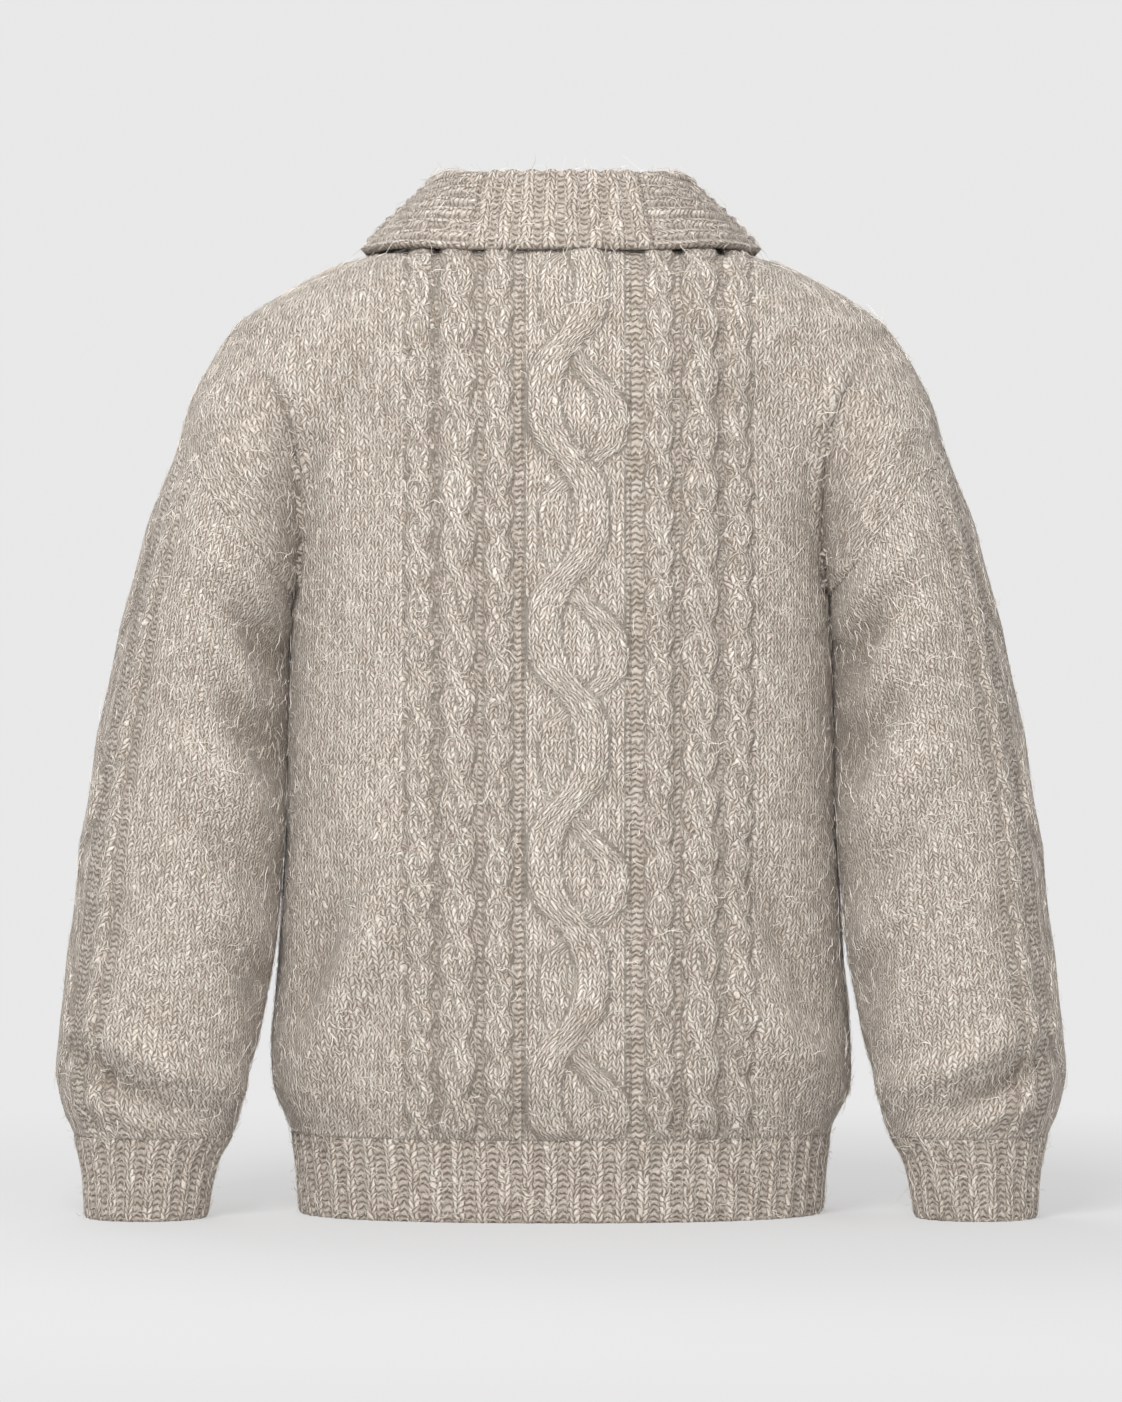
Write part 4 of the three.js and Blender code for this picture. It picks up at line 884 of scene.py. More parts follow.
@dataclass
class Panel(KnitPiece):
    """Back or front: the cable zone in the middle, and the plain side zones out to the seams."""

    face: Face = Face.BACK
    layout_centre: float = 0.0
    cable: WaveCable = MIDDLE_CABLE
    folds: tuple[Fold, ...] = ()
    rows: int = 257
    zone_cols: int = 140
    side_cols: int = 52

    def top_at(self, x: Array) -> Array:
        """Returns the height of the panel's top edge: the neck, and the shoulder beyond it."""
        reach = np.abs(x)
        neck = np.full(np.shape(x), NECK_HEIGHT) if self.face is Face.BACK else FORM.neck(reach)
        return np.where(reach >= NECK_HALF, FORM.shoulder_height(reach), neck)

    def column_heights(self, x: Array, shares: Array) -> tuple[Array, Array]:
        """Heights at even steps of cloth up each column.

        Args:
            x: Place of each column across.
            shares: Shares of the column's length.

        Returns:
            Heights and lengths of cloth, as rows and columns.
        """
        foot = RIB_TOP
        sweep = np.sin(0.5 * np.pi * np.linspace(0, 1, 500))
        heights = foot + (self.top_at(x)[:, None] - foot) * sweep[None]
        lengths = path_lengths(FORM.panel_points(x[:, None], heights, self.face))
        wanted = lengths[:, -1:] * shares[None]
        return at_lengths(lengths, heights, wanted).T, wanted.T

    def side_zone(self, border: float, heights: Array) -> tuple[Array, Array]:
        """Places across a side zone at even steps of cloth, from the cable zone to the seam.

        Args:
            border: Place of the cable zone's border.
            heights: Height of each row.

        Returns:
            Distance from the middle plane, and cloth run from the border.
        """
        sweep = np.sin(0.5 * np.pi * np.linspace(0, 1, 300))
        inside = abs(border)
        outside = FORM.panel_half(heights)[:, None]
        reach = inside + (outside - inside) * sweep[None]
        lengths = path_lengths(FORM.panel_points(reach, np.broadcast_to(heights[:, None], reach.shape), self.face))
        wanted = lengths[:, -1:] * np.linspace(0, 1, self.side_cols + 1)[None]
        return at_lengths(lengths, reach, wanted), wanted

    def build(self) -> Shell:
        """Lays the grid, raises the cables and folds, and presses the seams in.

        Returns:
            The panel's shell.
        """
        shares = np.linspace(0, 1, self.rows)
        across = np.linspace(CABLE_ZONE, -CABLE_ZONE, self.zone_cols + 1)
        view_x = self.layout_centre + across
        x = self.face.value * view_x
        z, along = self.column_heights(x, shares)
        left, left_run = self.side_zone(view_x[0], z[:, 0])
        right, right_run = self.side_zone(view_x[-1], z[:, -1])
        every_view = np.concatenate([left[:, :0:-1], np.broadcast_to(view_x, z.shape), -right[:, 1:]], axis=1)
        rows_left = np.repeat(z[:, :1], self.side_cols, axis=1)
        rows_right = np.repeat(z[:, -1:], self.side_cols, axis=1)
        every_z = np.concatenate([rows_left, z, rows_right], axis=1)
        every_along = np.concatenate([
            np.repeat(along[:, :1], self.side_cols, axis=1), along,
            np.repeat(along[:, -1:], self.side_cols, axis=1),
        ], axis=1) + RIB_TOP
        every_across = np.concatenate([
            CABLE_ZONE + left_run[:, :0:-1], np.broadcast_to(across, z.shape), -CABLE_ZONE - right_run[:, 1:],
        ], axis=1)
        relief = cable_layout(every_across, every_along, self.cable)
        base = FORM.panel_points(self.face.value * every_view, every_z, self.face)
        below_top = every_along[-1:] - every_along
        fade = smooth_step(2, 30, below_top) * smooth_step(-1, 8, every_along - RIB_TOP)
        seam = self.seam_distance(left_run, right_run, z.shape[1])
        fade = fade * smooth_step(0, 10, seam)
        crease = crease_depth(np.abs(every_view), every_z) * smooth_step(0, 12, seam)
        base[..., 1] -= self.face.value * CREASE_DEPTH * crease
        folds = folds_height(self.folds, every_view, every_z) * smooth_step(0, 14, seam)
        seam_dip = 0.3 * np.exp(-((every_along - RIB_TOP) / 2.5) ** 2)
        outer, normals, folded = relieved(base, False, faded(relief, fade), folds + seam_dip)
        # Painted shade: the stitches' own, dark in the crease under the arm and in the fold troughs.
        painted_shade = np.clip(relief.painted_shade * fade + 1.5 * crease + hollow(folds), 0, 1.6)
        return Shell(
            outer, normals, (every_across - relief.shift) / WALE, every_along / COURSE, relief.purl, painted_shade,
            folded, False, hair=relief.hair(),
        )

    def seam_distance(self, left_run: Array, right_run: Array, middle: int) -> Array:
        """Cloth between each point and the seam at its side, and a large number in the cable zone.

        Args:
            left_run: Cloth from the border on the viewer's left.
            right_run: Cloth from the border on the viewer's right.
            middle: Number of columns of the cable zone.

        Returns:
            The distance, as rows and columns.
        """
        left = (left_run[:, -1:] - left_run)[:, :0:-1]
        right = (right_run[:, -1:] - right_run)[:, 1:]
        between = np.full((len(left_run), middle), 60.0)
        return np.concatenate([left, between, right], axis=1)


@dataclass
class Tube(KnitPiece):
    """A piece knitted all round: rings at growing levels, each walked at even steps of cloth."""

    side: Side = Side.LEFT
    rows: int = 25
    cols: int = 160

    def ring_points(self, levels: Array, angles: Array) -> Array:
        """Returns points of the plain surface at levels and angles."""
        raise NotImplementedError

    def even_rings(self, levels: Array, first: float = 0.0) -> tuple[Array, Array]:
        """Plain grid whose columns are evenly spaced round each ring.

        Args:
            levels: Level of each row.
            first: Angle of the first column.

        Returns:
            Points, and the distance round each ring from the first column.
        """
        fine = first + np.linspace(0, 2 * np.pi, 721)
        samples = self.ring_points(levels[:, None], fine[None])
        lengths = path_lengths(samples)
        wanted = lengths[:, -1:] * np.linspace(0, 1, self.cols + 1)[None]
        angles = at_lengths(lengths, np.broadcast_to(fine, lengths.shape), wanted)
        points = self.ring_points(levels[:, None], angles)
        points[:, -1] = points[:, 0]
        return points, wanted

    def mirrored(self, shell: Shell) -> Shell:
        """Returns the shell on this piece's own side, with its columns turned round when it is mirrored."""
        if self.side is Side.LEFT:
            return shell
        flip = np.array([-1.0, 1.0, 1.0])
        turn = slice(None, None, -1)
        return Shell(
            shell.outer[:, turn] * flip, shell.normals[:, turn] * flip, shell.wales[:, turn],
            shell.courses[:, turn], shell.purl[:, turn], shell.painted_shade[:, turn], shell.base[:, turn] * flip,
            shell.closed, shell.thickness, shell.coarse, (shell.hair + 0 * shell.purl)[:, turn],
        )


@dataclass
class Sleeve(Tube):
    """Sleeve from the armhole to the cuff, with a wave cable between two ropes down the outer arm."""

    rows: int = 193
    cols: int = 192
    back_folds: tuple[Fold, ...] = SLEEVE_BACK_FOLDS
    front_folds: tuple[Fold, ...] = SLEEVE_FRONT_FOLDS

    def ring_points(self, levels: Array, angles: Array) -> Array:
        """Ring on its outer and inner edge points, round in depth: an ellipse tilted with the armhole.

        Args:
            levels: Share of the way from the armhole to the cuff.
            angles: Angle round the ring, 0 on the outer edge.

        Returns:
            Points of the ring.
        """
        outer_z = Form.ARM_HIGH[1] + levels * (RIB_TOP - Form.ARM_HIGH[1])
        inner_z = Form.ARM_LOW[1] + levels * (RIB_TOP - Form.ARM_LOW[1])
        outer_x = FORM.outline(outer_z)
        inner_x = FORM.inner_edge(inner_z)
        swing = np.cos(angles) / 2
        x = (outer_x + inner_x) / 2 + swing * (outer_x - inner_x)
        y = FORM.sleeve_centre(levels) + FORM.sleeve_deep(levels) * np.sin(angles)
        z = (outer_z + inner_z) / 2 + swing * (outer_z - inner_z)
        return np.stack(np.broadcast_arrays(x, y, z), axis=-1)

    def build(self) -> Shell:
        """Lays the rings from the cuff up, raises the cables and folds, and fades them at both seams.

        Returns:
            The sleeve's shell.
        """
        levels = 1 - np.linspace(0, 1, self.rows)
        base, around = self.even_rings(levels, -np.pi)
        total = around[:, -1:]
        reach = around - total / 2
        along = (1 - levels)[:, None] * 500.0 + np.zeros_like(reach)
        relief = self.layout(reach, along)
        seam = np.minimum(along, 500 - along)
        fade = smooth_step(0, 14, along) * smooth_step(0, 60, 500 - along)
        turn = np.sin(2 * np.pi * reach / total)
        strength = smooth_step(0, 0.35, np.abs(turn)) * smooth_step(0, 30, 500 - along)
        behind = folds_height(self.back_folds, base[..., 0], base[..., 2])
        ahead = folds_height(self.front_folds, base[..., 0], base[..., 2])
        folds = np.where(turn > 0, behind, ahead) * strength
        inner_side = np.exp(-(((np.abs(reach) - total / 2) / 32) ** 2))
        resting = 0.9 * inner_side * smooth_step(120, 190, along) * smooth_step(0, 40, 500 - along)
        dip = resting - 0.3 * np.exp(-((along / 2.0) ** 2))
        raised = faded(relief, fade)
        outer, normals, folded = relieved(base, True, raised, folds + dip)
        # Painted shade on the sleeve's inner side beside the body, added to the stitches' own and that of the fold
        # troughs.
        shade_beside_body = np.exp(-(((np.abs(reach) - total / 2) / 42) ** 2)) * smooth_step(150, 260, along)
        painted_shade = np.clip(relief.painted_shade * fade + 0.9 * shade_beside_body + hollow(folds), 0, 1.6)
        shell = Shell(
            outer, normals, (reach - relief.shift) / WALE, along / COURSE, relief.purl, painted_shade, folded, True,
            hair=relief.hair(),
        )
        return self.mirrored(shell)

    @staticmethod
    def layout(reach: Array, along: Array) -> Relief:
        """Cable band of the outer arm: the wave cable, a rope and a purl groove on each side, then plain knit.

        Args:
            reach: Distance from the outermost line.
            along: Distance up the cloth.

        Returns:
            The band's relief.
        """
        rope = Rope(56, 9, 25, 3.6)
        result = blank_relief(np.shape(reach), 0.0)
        result = Relief(result.rise + PLAIN_RISE, result.painted_shade, result.purl, result.shift)
        result = mixed(np.abs(reach) < 72, blank_relief(np.shape(reach), 1.0), result)
        offset = reach - np.sign(reach) * rope.centre
        result = mixed(np.abs(offset) < rope.half_width, rope.relief(offset, along), result)
        cable = WaveCable(centre=3, rise=4.8)
        return mixed(np.abs(reach) < cable.half_width, cable.relief(reach, along), result)


@dataclass
class RibTube(Tube):
    """Hem or cuff: a tube of ribs that run straight up."""

    ribs: int = 60
    rise: float = 2.6
    top: float = RIB_TOP

    def build(self) -> Shell:
        """Lays the rings, raises the ribs and rounds the lower edge.

        Returns:
            The tube's shell.
        """
        levels = np.linspace(0, self.top, self.rows)
        base, around = self.even_rings(levels)
        share = around / around[:, -1:] * self.ribs
        relief = RibProfile.relief(share, self.rise)
        height = levels[:, None] + np.zeros_like(share)
        edge = -1.5 * np.exp(-(height / 1.8) ** 2)
        raised = faded(relief, 0.3 + 0.7 * smooth_step(0, 8, self.top - height))
        outer, normals, folded = relieved(base, True, raised, edge)
        # Painted shade in the rib grooves.
        painted_shade = relief.painted_shade
        wales = share * 2 + 0.5
        return self.mirrored(Shell(
            outer, normals, wales, height / COURSE, relief.purl, painted_shade, folded, True,
        ))


@dataclass
class Hem(RibTube):
    """The rib that the body stands on."""

    def ring_points(self, levels: Array, angles: Array) -> Array:
        """Rounded section of the body: cosine and sine raised to two over the section's power.

        Args:
            levels: Heights.
            angles: Angle round the ring.

        Returns:
            Points of the ring.
        """
        power = 2 / FORM.power(levels)
        deep = np.where(np.sin(angles) > 0, FORM.depth[Face.BACK](levels), FORM.depth[Face.FRONT](levels))
        x = FORM.half(levels) * np.sign(np.cos(angles)) * np.abs(np.cos(angles)) ** power
        y = deep * np.sign(np.sin(angles)) * np.abs(np.sin(angles)) ** power
        return np.stack(np.broadcast_arrays(x, y, levels), axis=-1)


@dataclass
class Cuff(RibTube):
    """The rib that the sleeve stands on."""

    def ring_points(self, levels: Array, angles: Array) -> Array:
        """Ellipse between the sleeve's outer and inner edge lines.

        Args:
            levels: Heights.
            angles: Angle round the ring, 0 on the outer edge.

        Returns:
            Points of the ring.
        """
        reach = (FORM.outline(levels) - FORM.inner_edge(levels)) / 2
        x = FORM.inner_edge(levels) + reach * (1 + np.cos(angles))
        y = FORM.cuff_centre(levels) + FORM.cuff_deep(levels) * np.sin(angles)
        return np.stack(np.broadcast_arrays(x, y, levels), axis=-1)


class CollarLine:
    """Middle line of the collar's cloth: up from the neck's seam, over the fold and down to the free edge."""

    FOLD_GAP = 5.5
    GUIDES = ("fold_x", "fold_y", "fold_z", "edge_x", "edge_y", "edge_z")

    def __init__(self) -> None:
        """Makes the curves of the fold and the edge over the place on the neck's seam."""
        self.guides = {
            Face.BACK: [curve(COLLAR_BACK_GUIDE, name, "x") for name in self.GUIDES],
            Face.FRONT: [curve(COLLAR_FRONT_GUIDE, name, "x") for name in self.GUIDES],
        }

    @staticmethod
    def seam(x: Array, face: Face) -> Array:
        """Returns points of the neck's seam, on the back's level edge or the front's V."""
        z = np.full(np.shape(x), NECK_HEIGHT) if face is Face.BACK else FORM.neck(x)
        points = FORM.panel_points(x, z, face)
        points[..., 1] = np.where(np.abs(x - NECK_HALF) < 1e-6, 0, points[..., 1])
        return points

    def lines(self, x: Array, face: Face, shares: Array) -> Array:
        """Smooth centripetal curve through seven points of each station.

        Args:
            x: Places of the stations on the neck's seam, from 0 to the neck's half width.
            face: Whether the stations lie on the back or the front.
            shares: Shares of the way along the curve.

        Returns:
            Points as shares, stations and X Y Z.
        """
        seam = self.seam(x, face)
        ahead = self.seam(np.minimum(NECK_HALF, x + 1), face)
        run = ahead - self.seam(np.maximum(0, x - 1), face)
        away = unit(np.stack([np.abs(run[..., 1]), face.value * run[..., 0], 0 * x], axis=-1))
        values = [guide(x) for guide in self.guides[face]]
        fold = np.stack(values[:3], axis=-1)
        edge = np.stack(values[3:], axis=-1)
        up = np.array([0.0, 0.0, 1.0])
        bulge = 1.5 if face is Face.BACK else 2.5
        inner = seam - away * COLLAR_THICKNESS / 2
        half = fold + 0.55 * (edge - fold) + away * bulge
        low_fold = fold - up * self.FOLD_GAP
        knots = [inner, inner + 6 * up, low_fold - away * self.FOLD_GAP, fold, low_fold + away * self.FOLD_GAP,
                 half, edge]
        return self.through(np.stack(knots), shares)

    @staticmethod
    def through(knots: Array, shares: Array) -> Array:
        """Catmull-Rom curve with steps by the root of the distance between knots.

        Args:
            knots: Knots, stations and X Y Z.
            shares: Shares of the way, from 0 to 1.

        Returns:
            Points as shares, stations and X Y Z.
        """
        padded = np.concatenate([2 * knots[:1] - knots[1:2], knots, 2 * knots[-1:] - knots[-2:-1]])
        place = np.clip(shares, 0, 1) * (len(knots) - 1)
        i = np.minimum(place.astype(int), len(knots) - 2)
        u = (place - i)[:, None, None]
        p0, p1, p2, p3 = (padded[i + k] for k in range(4))
        d0, d1, d2 = (np.linalg.norm(b - a, axis=-1, keepdims=True) ** 0.5 for a, b in ((p0, p1), (p1, p2), (p2, p3)))
        t1 = ((p1 - p0) / d0 - (p2 - p0) / (d0 + d1) + (p2 - p1) / d1) * d1
        t2 = ((p2 - p1) / d1 - (p3 - p1) / (d1 + d2) + (p3 - p2) / d2) * d1
        return p1 + t1 * u + (-3 * p1 + 3 * p2 - 2 * t1 - t2) * u**2 + (2 * p1 - 2 * p2 + t1 + t2) * u**3


COLLAR_LINE = CollarLine()
COLLAR_SEAM_X = 52.0


@dataclass
class CollarPiece(KnitPiece):
    """Part of the turned-over collar. Rows run over the fold and columns follow the neck's seam."""

    rows: int = 61
    cols: int = 72
    rise: float = 2.0

    def stations(self) -> Array:
        """Returns the plain middle surface: rows over the fold and columns along the seam."""
        raise NotImplementedError

    def relief(self, over: Array, around: Array) -> Relief:
        """Returns the ribs at distances over the fold and along the seam."""
        raise NotImplementedError

    def stitches(self, over: Array, around: Array) -> tuple[Array, Array]:
        """Returns wales and courses at distances over the fold and along the seam."""
        raise NotImplementedError

    def build(self) -> Shell:
        """Lays the middle surface, raises its visible side and rounds the free edge.

        Returns:
            The piece's shell.
        """
        middle = self.stations()
        normals = grid_normals(middle, False)
        over = path_lengths(np.swapaxes(middle, 0, 1)).T
        around = path_lengths(middle)
        mean_around = np.broadcast_to(around[-8:].mean(axis=0), over.shape)
        relief = self.relief(over, mean_around)
        free = over[-1:] - over
        edge = -1.7 * np.exp(-((free / 2.0) ** 2))
        base = middle + normals * COLLAR_THICKNESS / 2
        outer = base + normals * (relief.rise + edge)[..., None]
        wales, courses = self.stitches(over, mean_around)
        return Shell(
            outer, normals, wales, courses, relief.purl, relief.painted_shade, base, False, COLLAR_THICKNESS, self.coarse(),
        )

    @staticmethod
    def coarse() -> int:
        """Returns how many fine cells an inner one spans."""
        return 4


@dataclass
class CollarBack(CollarPiece):
    """Back of the collar, with ribs that run up and over the fold."""

    ribs: int = 8
    cols: int = 96

    def stations(self) -> Array:
        """Returns the surface from the wearer's right seam to the left one."""
        x = np.linspace(-COLLAR_SEAM_X, COLLAR_SEAM_X, self.cols + 1)
        points = COLLAR_LINE.lines(np.abs(x), Face.BACK, np.linspace(0, 1, self.rows))
        points[..., 0] *= np.where(x < 0, -1, 1)
        return points

    def relief(self, over: Array, around: Array) -> Relief:
        """Returns ribs evenly spaced between the two seams, which lie in grooves."""
        return RibProfile.relief(around / around[:, -1:] * self.ribs, self.rise)

    def stitches(self, over: Array, around: Array) -> tuple[Array, Array]:
        """Returns two wales for each rib, and courses over the fold."""
        return around / around[:, -1:] * self.ribs * 2 + 0.5, over / COURSE


@dataclass
class CollarSide(CollarPiece):
    """Side of the collar, with ribs along it, from its seam on the back round to the middle of the front."""

    side: Side = Side.LEFT
    rib_pitch: float = 9.5
    rows: int = 65
    cols: int = 148

    def stations(self) -> Array:
        """Returns the surface from the back seam to the front middle, or the other way round on the right."""
        shares = np.linspace(0, 1, self.rows)
        fine_back = np.linspace(COLLAR_SEAM_X, NECK_HALF, 60)
        fine_front = np.linspace(NECK_HALF, 0, 241)[1:]
        lines = np.concatenate([
            COLLAR_LINE.lines(fine_back, Face.BACK, shares), COLLAR_LINE.lines(fine_front, Face.FRONT, shares),
        ], axis=1)
        lengths = path_lengths(lines[self.rows // 2 + 8])
        wanted = np.linspace(0, lengths[-1], self.cols + 1)
        place = np.interp(wanted, lengths, np.arange(lines.shape[1]))
        low = np.minimum(place.astype(int), lines.shape[1] - 2)
        part = (place - low)[None, :, None]
        points = lines[:, low] * (1 - part) + lines[:, low + 1] * part
        points[:, -1, 0] = 0.15
        if self.side is Side.LEFT:
            return points
        return points[:, ::-1] * np.array([-1.0, 1.0, 1.0])

    def relief(self, over: Array, around: Array) -> Relief:
        """Returns ribs parallel to the fold on the part that falls outside."""
        fall = over - over[-1:]
        share = fall / self.rib_pitch + 0.5
        ribs = RibProfile.relief(share, self.rise)
        shown = smooth_step(0.3, 0.4, over / over[-1:])
        return Relief(ribs.rise * shown, ribs.painted_shade * shown, ribs.purl, ribs.shift)

    def stitches(self, over: Array, around: Array) -> tuple[Array, Array]:
        """Returns one wale for each rib, and courses along them."""
        return (over - over[-1:]) / self.rib_pitch + 0.5, around / COURSE


class NodeTree:
    """Small helper that adds nodes and links them by name."""

    def __init__(self, tree: bpy.types.NodeTree) -> None:
        """Keeps the tree it writes to."""
        self.tree = tree

    def add(self, kind: str, inputs: dict | None = None, **settings: object) -> bpy.types.Node:
        """Adds a node, sets its properties and feeds its inputs.

        Args:
            kind: The node's type name.
            inputs: Socket name or number to a value or an output socket.
            settings: Properties of the node.

        Returns:
            The node.
        """
        node = self.tree.nodes.new(kind)
        for name, value in settings.items():
            setattr(node, name, value)
        for key, value in (inputs or {}).items():
            socket = node.inputs[key]
            if isinstance(value, bpy.types.NodeSocket):
                self.tree.links.new(value, socket)
            else:
                socket.default_value = value
        return node

    def math(self, operation: str, *values: object) -> bpy.types.NodeSocket:
        """Returns the output of a math node fed with the values in order."""
        return self.add("ShaderNodeMath", dict(enumerate(values)), operation=operation).outputs[0]

    def mix(self, factor: object, first: object, second: object) -> bpy.types.NodeSocket:
        """Returns a mix of two colours."""
        node = self.add("ShaderNodeMix", data_type="RGBA")
        for socket, value in ((node.inputs[0], factor), (node.inputs[6], first), (node.inputs[7], second)):
            if isinstance(value, bpy.types.NodeSocket):
                self.tree.links.new(value, socket)
            else:
                socket.default_value = value
        return node.outputs[2]


def new_group(name: str, inputs: dict[str, str], outputs: dict[str, str]) -> tuple[bpy.types.NodeTree, NodeTree]:
    """Makes an empty shader group with named sockets.

    Args:
        name: Name of the group.
        inputs: Socket name to socket type.
        outputs: Socket name to socket type.

    Returns:
        The group and a helper that writes to it.
    """
    group = bpy.data.node_groups.new(name, "ShaderNodeTree")
    for label, kind in inputs.items():
        group.interface.new_socket(label, in_out="INPUT", socket_type=kind)
    for label, kind in outputs.items():
        group.interface.new_socket(label, in_out="OUTPUT", socket_type=kind)
    return group, NodeTree(group)


def stitch_group() -> bpy.types.NodeTree:
    """Stitches on the stitch map: slanting legs on knit and wavy level strands on purl.

    Each knit leg is a dome across times a dome along it, and leans away from the wale's middle as it goes up. A
    purl strand is a dome up the course, and zigzags once for each wale. Shade is one random number for each leg
    or strand, and Streak is a fine noise stretched along it.

    Returns:
        The group, with a height, a painted shade for the dips between stitches, a random shade and a streak, all from
        0 to 1.
    """
    found = bpy.data.node_groups.get("knit_stitches")
    if found:
        return found
    group, t = new_group(
        "knit_stitches",
        {"Map": "NodeSocketVector", "Purl": "NodeSocketFloat", "Drift": "NodeSocketVector"},
        {"Height": "NodeSocketFloat", "GapShade": "NodeSocketFloat", "Shade": "NodeSocketFloat",
         "Streak": "NodeSocketFloat"},
    )
    given = t.add("NodeGroupInput")
    parts = t.add("ShaderNodeSeparateXYZ", {0: given.outputs["Map"]})
    drift = t.add("ShaderNodeSeparateXYZ", {0: given.outputs["Drift"]})
    across = t.math("MULTIPLY_ADD", t.math("SUBTRACT", drift.outputs[0], 0.5), 0.9, parts.outputs[0])
    up = t.math("MULTIPLY_ADD", t.math("SUBTRACT", drift.outputs[1], 0.5), 1.5, parts.outputs[1])
    centred = t.math("SUBTRACT", t.math("FRACT", across), 0.5)
    apart = t.math("ABSOLUTE", centred)
    rising = t.math("SUBTRACT", up, t.math("MULTIPLY", apart, 1.5))
    share = t.math("FRACT", rising)
    lean = t.math("MULTIPLY_ADD", t.math("SUBTRACT", share, 0.5), 0.16, 0.25)
    leg = t.math("DIVIDE", t.math("SUBTRACT", apart, lean), 0.235)
    leg_dome = t.math("MAXIMUM", t.math("SUBTRACT", 1.0, t.math("MULTIPLY", leg, leg)), 0.0)
    run = t.math("SUBTRACT", t.math("MULTIPLY", share, 2.0), 1.0)
    leg_run = t.math("SUBTRACT", 1.0, t.math("POWER", t.math("ABSOLUTE", run), 3.0))
    knit = t.math("MULTIPLY", t.math("SQRT", leg_dome), t.math("MULTIPLY_ADD", leg_run, 0.62, 0.38))
    zigzag = t.math("MULTIPLY_ADD", apart, 0.9, up)
    level = t.math("SUBTRACT", t.math("MULTIPLY", t.math("FRACT", zigzag), 2.0), 1.0)
    strand = t.math("SUBTRACT", 1.0, t.math("MULTIPLY", level, level))
    purl = t.math("MULTIPLY", strand, t.math("MULTIPLY_ADD", apart, -0.5, 1.0))
    height = t.add("ShaderNodeMix", {0: given.outputs["Purl"], 2: knit, 3: purl}, data_type="FLOAT").outputs[0]
    # painted shade: the lower the stitch surface, the darker its colour
    gap_shade = t.math("POWER", t.math("SUBTRACT", 1.0, t.math("MINIMUM", height, 1.0)), 1.4)
    leg_id = t.math("FLOOR", t.math("MULTIPLY", across, 2.0))
    knit_cell = t.add("ShaderNodeCombineXYZ", {0: leg_id, 1: t.math("FLOOR", rising), 2: 0.0}).outputs[0]
    purl_cell = t.add("ShaderNodeCombineXYZ", {0: t.math("FLOOR", across), 1: t.math("FLOOR", zigzag), 2: 7.0})
    cell = t.add("ShaderNodeMix", {0: given.outputs["Purl"], 4: knit_cell, 5: purl_cell.outputs[0]},
                 data_type="VECTOR").outputs[1]
    shade = t.add("ShaderNodeTexWhiteNoise", {0: cell}, noise_dimensions="3D").outputs[0]
    knit_way = t.add("ShaderNodeCombineXYZ", {
        0: t.math("MULTIPLY_ADD", leg, 1.1, t.math("MULTIPLY", leg_id, 7.3)), 1: t.math("MULTIPLY", rising, 0.8),
    }).outputs[0]
    purl_way = t.add("ShaderNodeCombineXYZ", {0: across, 1: t.math("MULTIPLY", zigzag, 6.0), 2: 3.0}).outputs[0]
    way = t.add("ShaderNodeMix", {0: given.outputs["Purl"], 4: knit_way, 5: purl_way}, data_type="VECTOR").outputs[1]
    streak = t.add("ShaderNodeTexNoise", {"Vector": way, "Scale": 2.2, "Detail": 3.0, "Roughness": 0.65}).outputs[0]
    t.add("NodeGroupOutput", {"Height": height, "GapShade": gap_shade, "Shade": shade, "Streak": streak})
    return group


def marl_group() -> bpy.types.NodeTree:
    """Heathered wool: each stitch's shade, its streaks and soft clouds sort light, middle and dark fibres.

    The sum of the three, less a painted shade between the stitches, runs through a ramp of the three colours, and a
    painted shade in hollows darkens the result.

    Returns:
        The group, with the wool's colour and a fuzz height.
    """
    found = bpy.data.node_groups.get("heathered_wool")
    if found:
        return found
    group, t = new_group(
        "heathered_wool",
        {
            "Place": "NodeSocketVector", "Light": "NodeSocketColor", "Middle": "NodeSocketColor",
            "Dark": "NodeSocketColor", "GapShade": "NodeSocketFloat", "PaintedShade": "NodeSocketFloat",
            "Shade": "NodeSocketFloat", "Streak": "NodeSocketFloat",
        },
        {"Color": "NodeSocketColor", "Fuzz": "NodeSocketFloat"},
    )
    given = t.add("NodeGroupInput")
    place = given.outputs["Place"]
    fine = t.add("ShaderNodeTexNoise", {"Vector": place, "Scale": 1100.0, "Detail": 2.0, "Roughness": 0.7})
    cloud = t.add("ShaderNodeTexNoise", {"Vector": place, "Scale": 70.0, "Detail": 2.0})
    tone = t.math("MULTIPLY_ADD", t.math("SUBTRACT", given.outputs["Shade"], 0.5), 0.34, 0.57)
    tone = t.math("MULTIPLY_ADD", t.math("SUBTRACT", given.outputs["Streak"], 0.5), 1.7, tone)
    tone = t.math("MULTIPLY_ADD", t.math("SUBTRACT", fine.outputs[0], 0.5), 0.7, tone)
    tone = t.math("MULTIPLY_ADD", t.math("SUBTRACT", cloud.outputs[0], 0.5), 0.35, tone)
    # painted shade between the stitches, from how low the stitch surface lies
    tone = t.math("MULTIPLY_ADD", given.outputs["GapShade"], -0.7, tone)
    low = t.math("MINIMUM", t.math("MAXIMUM", t.math("MULTIPLY", tone, 2.0), 0.0), 1.0)
    high = t.math("MINIMUM", t.math("MAXIMUM", t.math("MULTIPLY_ADD", tone, 2.0, -1.0), 0.0), 1.0)
    sorted_colour = t.mix(high, t.mix(low, given.outputs["Dark"], given.outputs["Middle"]), given.outputs["Light"])
    # painted shade in grooves, creases and fold troughs, mixed towards the dark colour
    colour = t.mix(t.math("MULTIPLY", given.outputs["PaintedShade"], 0.42), sorted_colour, given.outputs["Dark"])
    fuzz = t.math("MULTIPLY_ADD", given.outputs["Streak"], 0.8, fine.outputs[0])
    t.add("NodeGroupOutput", {"Color": colour, "Fuzz": fuzz})
    return group


